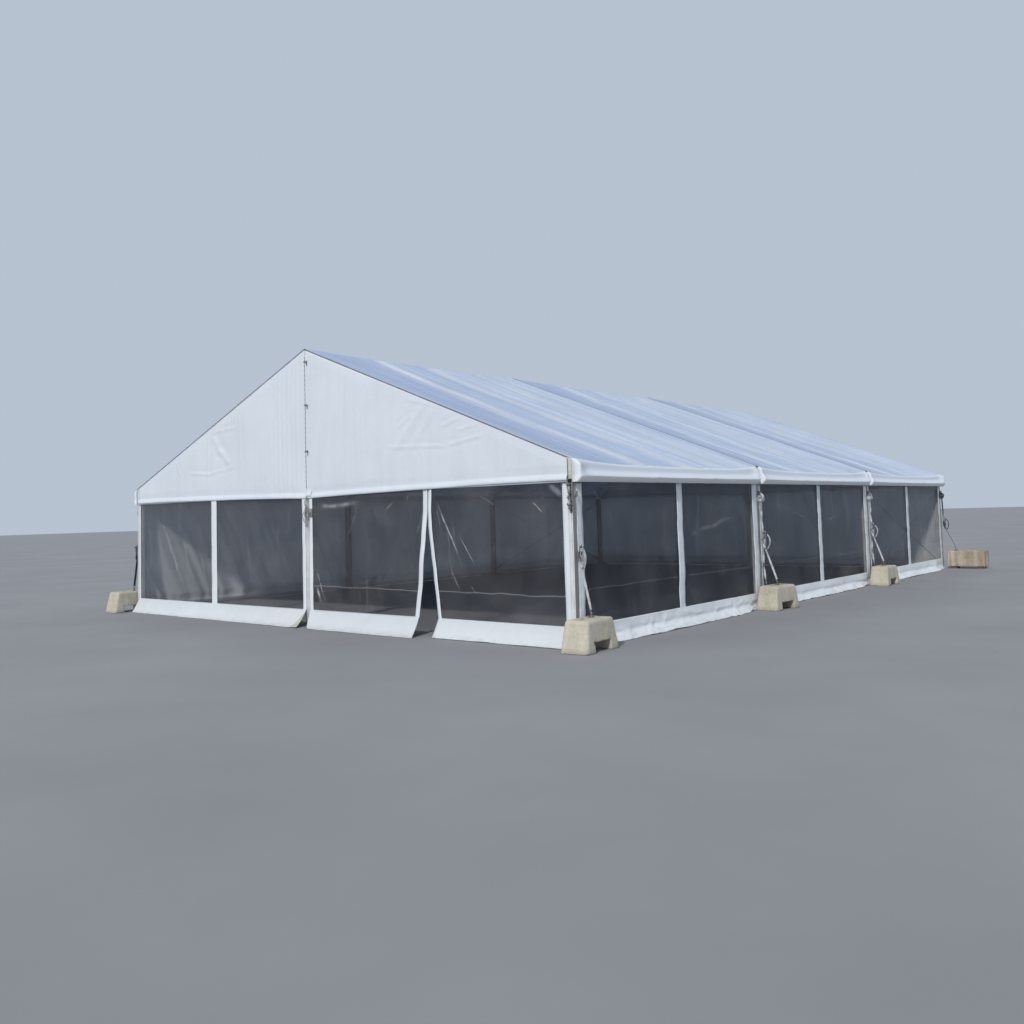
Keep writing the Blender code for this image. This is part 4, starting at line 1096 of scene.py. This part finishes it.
# The broad line along the top of the first right pane is painted light, for the lit cloth seen through it.
SIDE_LINES = ((-4.88, 1.20, -3.10, 1.53, 0.050, 0.20), (-7.60, 1.94, -5.00, 1.96, 0.110, 0.15),
              (5.08, 1.80, 5.60, 1.12, 0.035, 0.30), (3.04, 1.93, 3.25, 1.68, 0.020, 0.25),
              (0.20, 1.28, 1.30, 1.48, 0.030, 0.16), (-1.35, 1.56, -0.30, 1.30, 0.030, 0.16),
              (7.24, 1.66, 6.72, 0.24, 0.045, 0.42), (6.98, 1.50, 6.42, 0.30, 0.030, 0.34),
              (5.98, 1.30, 5.90, 0.34, 0.030, 0.30), (-7.10, 1.90, -6.60, 1.50, 0.030, 0.16),
              (-2.20, 1.86, -1.90, 1.60, 0.030, 0.22))
SMOOTH = {"interpolation_type": "SMOOTHSTEP"}


def clear_film(name, across, weld, weld_shows, lines, thinnest, tone):
    """Clear film, pale and less clear along its creases as painted highlights, and along its weld.

    lines are painted highlights on creases, as (along, height, along, height, width, strength), along X or Y as across
    says.
    thinnest is how much the clearest film hides, in its grey tone, which is painted shade.
    """
    made = Finish(name, 0.12)
    moved = made.vector("MULTIPLY_ADD", "Vector", made.grain(2.5, roughness=0.5, out="Color"), (0.07,) * 3,
                        (-0.035,) * 3)
    wavy = made.vector("ADD", "Vector", made.place, moved)

    def along_line(way, start):
        reach = made.vector("DOT_PRODUCT", "Value", wavy, way)
        return made.math("SUBTRACT", reach, sum(a * b for a, b in zip(way, start)))

    # Painted highlights along the listed creases.
    creases = 0.0
    for u0, z0, u1, z1, width, strength in lines:
        length = math.hypot(u1 - u0, z1 - z0)
        u, z = (u1 - u0) / length, (z1 - z0) / length
        if across == "X":
            way, side, start = (u, 0, z), (-z, 0, u), (u0, 0, z0)
        else:
            way, side, start = (0, u, z), (0, -z, u), (0, u0, z0)
        part = along_line(way, start)
        line = made.between(made.math("ABSOLUTE", along_line(side, start)), 0.0, width, strength, 0.0, **SMOOTH)
        line = made.math("MULTIPLY", line, made.between(part, 0.0, length * 0.3, **SMOOTH))
        line = made.math("MULTIPLY", line, made.between(part, length * 0.5, length, 1.0, 0.0, **SMOOTH))
        creases = made.math("MAXIMUM", line, creases)
    creases = made.math("MULTIPLY", creases, made.ramp(made.grain(9.0, 2.0), (0.30, 0.35), (0.62, 1.0)))
    from_weld = made.math("ABSOLUTE", made.math("SUBTRACT", made.coordinate("Z", wavy), weld))
    creases = made.math("MAXIMUM", creases, made.between(from_weld, 0.003, 0.011, weld_shows, 0.0, **SMOOTH))
    # Painted highlights along hanging creases, in patches; the cloudy haze is the film's own.
    hanging = made.ramp(made.grain(1.0, 2.0, stretch=(15, 15, 0.9)), (0.60, 0.0), (0.85, 0.22))
    hanging_glints = made.math("MULTIPLY", hanging, made.ramp(made.grain(0.9, 2.0), (0.42, 0.0), (0.62, 1.0)))
    cloudy = made.ramp(made.grain(1.6, 4.0), (0.38, 0.0), (0.80, 0.13))
    haze_and_glints = made.math("ADD", made.math("MAXIMUM", creases, hanging_glints), cloudy)
    # The grey tone is painted shade; the painted highlights are whiter and less clear.
    made.feed({"Base Color": made.ramp(haze_and_glints, (0.0, (tone, tone, tone * 1.1)), (0.35, (0.34, 0.35, 0.37)),
                                       (1.0, (0.82, 0.84, 0.87))),
               "Alpha": made.between(haze_and_glints, 0.0, 1.0, thinnest, 0.92), "Specular IOR Level": 0.25,
               "Roughness": made.between(haze_and_glints, 0.0, 1.0, 0.10, 0.40)})
    made.bumped(made.math("ADD", made.grain(4.0), creases), 0.010, 0.4)
    return made.material


side_film = clear_film("side_film", "Y", SIDE_WELD, 0.13, SIDE_LINES, 0.21, 0.062)
front_film = clear_film("front_film", "X", FRONT_WELD, 0.0, FRONT_LINES, 0.15, 0.095)
curtain_film = clear_film("curtain_film", "X", FRONT_WELD, 0.24, CURTAIN_LINES, 0.21, 0.078)


def film(name, face, low, high, look, seed, cad_node, wall):
    """low and high are where the film starts and ends, each for its whole height or for each row."""
    low, high, z = (np.array(values)[:, None] for values in np.broadcast_arrays(low, high, FILM_ROWS))
    width = float(abs(high[0, 0] - low[0, 0]))
    share = np.linspace(0, 1, max(40, int(width / 0.042)))
    along = low + (high - low) * share
    free = rise(FILM_TOP - z, 0.2) * rise(z - FILM_LOW, 0.2) * rise(share, 0.03) * rise(1 - share, 0.03)
    slack = 0.010 * hills(along * 1.1 + seed, z * 0.9, 71) + 0.005 * hills(along * 4.0, z * 1.1 + seed, 72)
    slack = slack + 0.0025 * hills(along * 9.0 + z * 2.0, z * 2.5, 73)
    out = FILM_BACK + np.minimum(slack - 0.006, 0.002) * free
    cloth(name, *on_face(face, along, out, z), look, cad_node, FILM_SHOWN, slot="clear_film",
          flat=(width, FILM_TOP - FILM_LOW), held="hung", rests_on=[wall])


for i in range(3):
    film(f"pane_right_{i + 1}", "right", FRAME_Y[i] + FILM_IN, FRAME_Y[i + 1] - FILM_IN, side_film, 2.0 + 3.9 * i,
         f"window_right_{i + 1}", f"wall_cover_right_{i + 1}")
film("pane_front_left", "front", -4.87, -0.062, front_film, 17.0, "window_front_left", "wall_cover_front_left")
film("pane_curtain_left", "front", 0.062, free_edge(-1, LEFT_SWEEP, FILM_ROWS) - 0.012, curtain_film, 31.0,
     "curtain_window_left", "curtain_cover_left")
film("pane_curtain_right", "front", 4.868, free_edge(1, RIGHT_SWEEP, FILM_ROWS) + 0.012, curtain_film, 37.0,
     "curtain_window_right", "curtain_cover_right")


# Ballast blocks
# Cast concrete blocks of about 240 kg beside every leg. The tapered ones have a slot for a lifting
# fork, the back pair are plain kerb stones laid crosswise. All are worn, pitted and stained, with
# a steel eye cast in the top for the strap.

FINENESS = 6
EYE_ROD = 0.006
EYE_HALF = 0.030
BLOCK_OUT = 0.26
CORNER_EYE_OUT = 0.19
CORNER_BLOCK_IN = 0.035
BLOCK_TOP = 0.375
BACK_BLOCK_TOP = 0.42
BACK_STRAP_SHIFT = 0.15
HOLE_SHIFTS = (0.14, -0.21)
WEAR = 0.0014
CHIP_DEPTH = 0.034


def concrete(name, pale, plain, stained, streaks):
    """Cast concrete: cloudy stains, grit, rain streaks, small blow holes."""
    made = Finish(name, 0.9)
    grit = made.grain(24.0, 6.0, 0.7)
    colour = made.ramp(made.grain(2.8, 5.0, 0.65), (0.30, stained), (0.47, plain), (0.66, pale))
    colour = made.shaded(colour, 0.55, grit, (0.34, 0.74), (0.56, 1.0))
    colour = made.shaded(colour, streaks, made.grain(1.0, 4.0, stretch=(11, 11, 0.9)), (0.36, 0.50), (0.58, 1.0))
    damp = made.between(made.coordinate("Z"), 0.07, 0.0, 0.0, 0.55)
    made.feed({"Base Color": made.blended(damp, colour, tuple(c * 0.5 for c in stained))})
    cells = made.node("TexVoronoi", {"Vector": made.place, "Scale": 55.0}).outputs["Distance"]
    made.bumped(made.math("ADD", made.ramp(cells, (0.03, 0.0), (0.17, 1.0)), grit), 0.0035)
    return made.material


pale_concrete = concrete("pale_concrete", (0.58, 0.55, 0.455), (0.53, 0.495, 0.40), (0.44, 0.415, 0.335), 0.25)
brown_concrete = concrete("brown_concrete", (0.57, 0.49, 0.39), (0.46, 0.385, 0.295), (0.33, 0.28, 0.22), 0.7)
eye_steel = plain_steel("rusty_steel", (0.20, 0.13, 0.09), 0.7, 40.0)


def weathered(name, cad_node, seed):
    """The block's CAD shape in small cells, worn round at the edges, uneven and chipped."""
    solid = nodes[cad_node].data.copy()
    solid.transform(nodes[cad_node].matrix_world)
    rough_cast = bpy.data.objects.new(name, solid)
    scene.collection.objects.link(rough_cast)
    cells = rough_cast.modifiers.new("Cells", "REMESH")
    cells.mode = "SHARP"
    cells.octree_depth = FINENESS
    cells.scale = 0.85
    mesh = bpy.data.meshes.new_from_object(rough_cast.evaluated_get(bpy.context.evaluated_depsgraph_get()))
    bpy.data.objects.remove(rough_cast)
    shape = bmesh.new()
    shape.from_mesh(mesh)
    bmesh.ops.smooth_vert(shape, verts=shape.verts, factor=0.5, use_axis_x=True, use_axis_y=True, use_axis_z=True)
    shape.normal_update()
    shift = Vector((seed * 3.7, seed * 1.9, seed))
    moved = []
    for vert in shape.verts:
        at = vert.co
        bend = sum(1.0 - vert.normal.dot(face.normal) for face in vert.link_faces) / max(1, len(vert.link_faces))
        chip = max(0.0, noise.noise(at * 11.0 + shift) - 0.18) * min(1.0, bend * 22.0)
        uneven = 0.0014 * noise.noise(at * 6.0 + shift) + 0.0010 * noise.noise(at * 22.0 + shift)
        moved.append(at + vert.normal * (uneven - WEAR - CHIP_DEPTH * chip))
    low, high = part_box(cad_node)
    for vert, at in zip(shape.verts, moved):
        vert.co = [min(max(a, b), c) for a, b, c in zip(at, low, high)]
    shape.to_mesh(mesh)
    shape.free()
    mesh.materials.clear()
    mesh.shade_smooth()
    return mesh


def eye_place(sign, i):
    """Where the middle of a block's steel eye meets its top."""
    back = i == 3
    return Vector((sign * (HALF_WIDTH + (BLOCK_OUT if i else CORNER_EYE_OUT)),
                   FRAME_Y[i] + (BACK_STRAP_SHIFT if back else 0), BACK_BLOCK_TOP if back else BLOCK_TOP))


for side, sign in SIDES:
    for i in range(4):
        number, cad_node = f"{side}_{i + 1}", f"ballast_{side}_{i + 1}"
        mesh = weathered(f"block_{number}", cad_node, i + 5 * (sign > 0))
        if i == 0:
            mesh.transform(Matrix.Translation((-sign * CORNER_BLOCK_IN, 0, 0)))
        look, slot = (brown_concrete, "stained_concrete") if i == 3 else (pale_concrete, "concrete")
        piece(f"block_{number}", mesh, look, slot, cad_node)
        middle = eye_place(sign, i)
        arch = [middle + Vector((EYE_HALF * math.cos(a), 0, EYE_HALF * (2 * math.sin(a) - 1)))
                for a in np.linspace(0, math.pi, 13)]
        parts = [run(arch, EYE_ROD), turned([(-0.004, 0.052), (0.0015, 0.050), (0.002, 0.044)], middle, (0, 0, 1), 18)]
        for shift in HOLE_SHIFTS:
            hole = middle + Vector((sign * (shift + 0.4), 0.02, 0) if i == 3 else (0.02, shift, 0))
            parts.append(turned([(-0.004, 0.026), (0.001, 0.025), (0.0015, 0.012)], hole, (0, 0, 1)))
        fitting(f"block_eye_{number}", parts, eye_steel, "steel_cable")


# Ratchet straps
# Polyester webbing looped round the lug on each leg, led through a steel ratchet at hip height and
# hooked into the eye of the block. Spare webbing is tied up at the top and at the ratchet, and on
# the middle legs its twisted tail hangs down beside the strap.

STRAP_WIDTH = 0.040
LUG_OUT = 0.030
LUG_HEIGHT = 1.80
RATCHET_OUT = 0.060
RATCHET_MIDDLE = 1.08
RATCHET_HALF = 0.055
HANDLE = 0.115
HOOK_UP = 0.035
ratchet_steel = plain_steel("ratchet_steel", (0.22, 0.22, 0.23), 0.45, 30.0)


def strap(side, sign, i, look, handle_turn):
    """Points are given as distance out from the leg, distance along the tent and height."""

    def at(out, along, height):
        return Vector((sign * (HALF_WIDTH + out), FRAME_Y[i] + along, height))

    def lug(out, along, height):
        return at(LUG_OUT + out, along, LUG_HEIGHT + height)

    def ratchet(out, along, height):
        return at(RATCHET_OUT + out, along, RATCHET_MIDDLE + height)

    corner, back, has_tail = i == 0, i == 3, i in (1, 2)
    foot = eye_place(sign, i) + Vector((0, 0, HOOK_UP))
    top, low = ratchet(0, 0, RATCHET_HALF), ratchet(0, 0, -RATCHET_HALF)
    upper = [lug(0.008, 0, 0.012).lerp(top, t) for t in np.linspace(0, 1, 34)]
    lower = [low.lerp(foot + Vector((0, 0, 0.05)), t) for t in np.linspace(0, 1, 30)]
    webs = [ribbon(upper, STRAP_WIDTH * (0.45 if corner else 0.8), (0, 1, 0), math.pi * (3 if has_tail else 1)),
            ribbon(lower, STRAP_WIDTH * (1 if sign < 0 else 0.7), (0, 1, 0),
                   math.pi * (0 if back or sign < 0 else 0.5))]
    for k in range(0 if corner else 5):
        turn = k * 2.1 + i
        wide, tall = 0.032 + 0.008 * math.sin(turn), 0.048 + 0.0128 * math.cos(turn * 1.7)
        bunch = lug(0.012, 0.012 * math.sin(turn * 2.3), -0.045 - 0.012 * (k % 3))
        loop = [bunch + Vector((sign * wide * math.sin(a), 0.045 * math.sin(a + turn) * math.cos(turn),
                                tall * math.cos(a))) for a in np.linspace(0, math.tau, 17)]
        webs.append(ribbon(loop, 0.030, (math.sin(turn), math.cos(turn), 0.3), math.pi))
    if not corner:
        wraps = [lug(0.008 + 0.016 * math.cos(a), 0.020 * math.sin(a), -0.055 - 0.0035 * a)
                 for a in np.linspace(0, math.tau * 2, 29)]
        webs.append(ribbon(wraps, 0.026, (0, 0, 1)))
    bow = 0.055 if corner else 0.100
    slack = [ratchet(0, 0.01, 0.085), ratchet(bow * 0.7, 0.02, 0.075), ratchet(bow, 0.03, -0.03),
             ratchet(bow * 0.55, 0.02, -0.145), ratchet(0.020, 0.0, -0.100), ratchet(0.034, -0.01, 0.01)]
    bundle = [ratchet(-0.004, 0.0, 0.10), ratchet(0.030, 0.01, 0.14), ratchet(0.046, 0.0, 0.04),
              ratchet(0.040, -0.015, -0.12), ratchet(0.010, -0.02, -0.06), ratchet(0.012, -0.02, 0.07)]
    webs.append(ribbon(curve_through(slack, 6), STRAP_WIDTH * 0.7, (0, 1, 0.2), 0.9))
    webs.append(ribbon(curve_through(bundle, 6), STRAP_WIDTH * (0.6 if corner else 0.9), (0, 1, 0.15), -0.7))
    if has_tail:
        tail = [lug(0.01, 0.02, -0.08), lug(-0.004, 0.045, -0.40), lug(0.004, 0.055, -0.80), lug(-0.002, 0.05, -1.10),
                at(LUG_OUT + 0.030, 0.04, BLOCK_TOP + 0.012)]
        webs.append(ribbon(curve_through(tail, 14), 0.030, (0, 1, 0), math.pi * 5, 0.003))
    webs.append(turned([(-0.020, 0.019), (0.020, 0.019)], ratchet(0, 0, 0), (0, 1, 0), 16))

    steel = []
    swung, raised = HANDLE * math.sin(handle_turn), HANDLE * math.cos(handle_turn)
    towards = (low - foot).normalized()
    for cheek in (-1, 1):
        steel.append(slab(ratchet(-0.016, cheek * 0.0235 - 0.0015, -0.060),
                          ratchet(0.016, cheek * 0.0235 + 0.0015, 0.060), 0.001))
        steel.append(turned([(-0.0035, 0.021), (0.0035, 0.021)], ratchet(0, cheek * 0.0285, 0), (0, 1, 0), 16))
        steel.append(run([ratchet(0, cheek * 0.0325, 0), ratchet(swung, cheek * 0.0355, raised)], 0.0042))
        hook = [foot + Vector((0, cheek * 0.016, 0)) + towards * 0.055,
                foot + Vector((0, cheek * 0.012, 0)) + towards * 0.030,
                foot + Vector((sign * 0.006, cheek * 0.006, -0.004)),
                foot + Vector((sign * 0.018, cheek * 0.006, 0.002)),
                foot + Vector((sign * 0.020, cheek * 0.007, 0.020))]
        steel.append(run(curve_through(hook, 5), 0.0038, 7))
    grip = [(-0.036, 0.008), (-0.030, 0.011), (0.030, 0.011), (0.036, 0.008)]
    steel.append(turned(grip, ratchet(swung, 0, raised), (0, 1, 0), 12))
    for height, size in ((0.0, 0.0115), (-0.048, 0.0055)):
        steel.append(turned([(-0.030, size), (0.030, size)], ratchet(0, 0, height), (0, 1, 0), 12))
    steel.append(turned([(-0.024, 0.004), (0.024, 0.004)], foot + towards * 0.055, (0, 1, 0), 8))
    steel.append(run(circle(lug(0.004, 0, 0.012), Vector((0, 0.022, 0)), Vector((0, 0, 0.020)), 17), 0.004, 7))
    fitting(f"strap_cloth_{side}_{i + 1}", webs, look, "strap_webbing", f"strap_{side}_{i + 1}")
    fitting(f"ratchet_{side}_{i + 1}", steel, ratchet_steel, "steel_cable")


for side, sign in SIDES:
    for i in range(4):
        # The front-left strap's dark webbing is painted shade, for a strap in shadow; the back-right strap is dark
        # webbing too.
        dark = (side, i) in (("left", 0), ("right", 3))
        strap(side, sign, i, dark_webbing if dark else pale_webbing, 0.25 if (side, i) == ("right", 0) else 0.5)


# Corner and post ties
# Short ropes and hooks that pull the gable hems in: round a bracket at each gable's right corner,
# and at the centre posts where the two halves meet over a clamp. A black end plate under each
# corner's hem is painted shadow for the shade inside the fascia's open end.

CLAMP_FACE = 0.0085
ROPE_PITCH = 0.0108
ROPE_RADIUS = 0.0055
rope_fibre = webbing("rope_fibre", (0.54, 0.53, 0.50), (0.20, 0.19, 0.175))
shadow_black_steel = plain_steel("shadow_black_steel", (0.035, 0.034, 0.035), 0.7)
edge_tape = mottled("edge_tape", 0.6, 0.0, 9.0, 4.0, (0.35, (0.40, 0.38, 0.31)), (0.6, (0.58, 0.56, 0.48)))


def knot(middle, axis, radius, seed):
    """A rope wound twice and unevenly round an axis."""
    axis = Vector(axis).normalized()
    first = axis.orthogonal().normalized()
    second = axis.cross(first)
    line = []
    for k in range(29):
        a = math.tau * k / 14
        wide = radius * (1 + 0.14 * math.sin(a * 0.37 + seed))
        line.append(middle + (first * math.cos(a) + second * math.sin(a)) * wide
                    + axis * (ROPE_PITCH * (k / 14 - 1) + 0.004 * math.sin(a * 0.61 + seed)))
    return run(line, ROPE_RADIUS, 7)


def rope(at, line, radius, per_span=8, sides=8):
    return run(curve_through([at(*point) for point in line], per_span), radius, sides)


for end, end_sign in ENDS:
    out_way = (0, end_sign, 0)
    for side, sign in SIDES:
        at = placed(end_sign, 0.0, sign)
        tape = slab(at(GABLE_EDGE + 0.012, 0.0005, 2.0), at(HALF_WIDTH - 0.002, 0.003, 2.235), 0.0005)
        fitting(f"rafter_end_tape_{end}_{side}", [tape],
                edge_tape.material if sign == -end_sign else gable_cloth, "pvc")
        if sign == end_sign:
            continue
        # Painted shadow: a black plate under the hem's end, for the shade inside the fascia's open end.
        plate = slab(at(4.925, -0.004, 1.962), at(5.026, 0.006, 2.006), 0.002)
        fitting(f"corner_shadow_plate_{end}_{side}", [plate], shadow_black_steel, "steel_cable")
        steel = [slab(at(4.955, -0.004, 1.60), at(4.995, 0.004, 1.95), 0.002),
                 slab(at(4.933, 0.004, 1.925), at(4.977, 0.032, 1.962), 0.004)]
        for height in (1.90, 1.74, 1.63):
            steel += bolt(at(4.978, 0.004, height), out_way, 0.010)
        for x, height, radius in ((4.972, 1.945, 0.020), (4.982, 1.825, 0.012), (4.984, 1.695, 0.019),
                                  (4.992, 1.735, 0.010)):
            hub = [(0, radius * 0.8), (0.010, radius), (0.034, radius * 0.8)]
            steel.append(turned(hub, at(x, 0.004, height), out_way, 12))
        ropes = [rope(at, ((4.925, 0.020, 1.955), (4.943, 0.032, 1.920), (4.958, 0.026, 1.84), (4.985, 0.022, 1.72),
                           (4.985, 0.022, 1.69)), ROPE_RADIUS),
                 rope(at, ((4.951, 0.020, 1.951), (4.985, 0.030, 1.885), (4.968, 0.022, 1.80),
                           (4.995, 0.022, 1.71)), 0.005),
                 rope(at, ((4.985, 0.022, 1.69), (4.993, 0.032, 1.66), (4.981, 0.034, 1.63),
                           (4.989, 0.030, 1.605)), 0.0045, 8, 7)]
        for k, (height, radius) in enumerate(((1.945, 0.016), (1.865, 0.011), (1.79, 0.012), (1.70, 0.019),
                                              (1.655, 0.013))):
            middle = at(4.962 + 0.010 * math.sin(k * 1.9), 0.026, height)
            ropes.append(knot(middle, (0.4, 0.3, 1.0 - 0.5 * (k % 2)), radius, k + sign))
        fitting(f"corner_tie_{end}_{side}", ropes, rope_fibre, "strap_webbing")
        fitting(f"corner_bracket_{end}_{side}", steel, ratchet_steel, "steel_cable")

    at = placed(end_sign, CLAMP_FACE)
    steel = [slab(at(-0.038, 0, 1.50), at(0.036, 0.008, 1.80), 0.002),
             slab(at(0.030, -0.012, 1.640), at(0.135, 0.012, 1.775), 0.006),
             turned([(-0.016, 0.022), (0.010, 0.024), (0.014, 0.018)], at(0.085, 0.006, 1.712), out_way, 16),
             turned([(0.0, 0.017), (0.020, 0.020), (0.034, 0.014)], at(0.045, 0.012, 1.932), out_way),
             rope(at, ((-0.010, 0.014, 1.735), (-0.050, 0.034, 1.700), (-0.062, 0.036, 1.640),
                       (-0.040, 0.022, 1.570)), 0.007, 6)]
    for height in (1.53, 1.64, 1.77):
        steel += bolt(at(-0.014, 0.008, height), out_way, 0.011)
    ropes = [rope(at, ((0.020, 0.020, 1.925), (-0.010, 0.034, 1.880), (0.024, 0.040, 1.815), (-0.004, 0.036, 1.735),
                       (-0.014, 0.032, 1.665)), 0.006, 7),
             rope(at, ((0.050, 0.020, 1.925), (0.064, 0.032, 1.845), (0.054, 0.034, 1.725), (0.070, 0.030, 1.565),
                       (0.060, 0.030, 1.425)), ROPE_RADIUS, 9)]
    for k, (x, height, radius) in enumerate(((0.022, 1.905, 0.015), (0.0, 1.830, 0.013), (-0.006, 1.735, 0.020),
                                             (0.064, 1.62, 0.012))):
        ropes.append(knot(at(x, 0.026, height), (0.5, 0.2, 1), radius, k * 1.3))
    fitting(f"post_tie_{end}", ropes, rope_fibre, "strap_webbing")
    fitting(f"post_clamp_{end}", steel, bolt_steel, "aluminium")
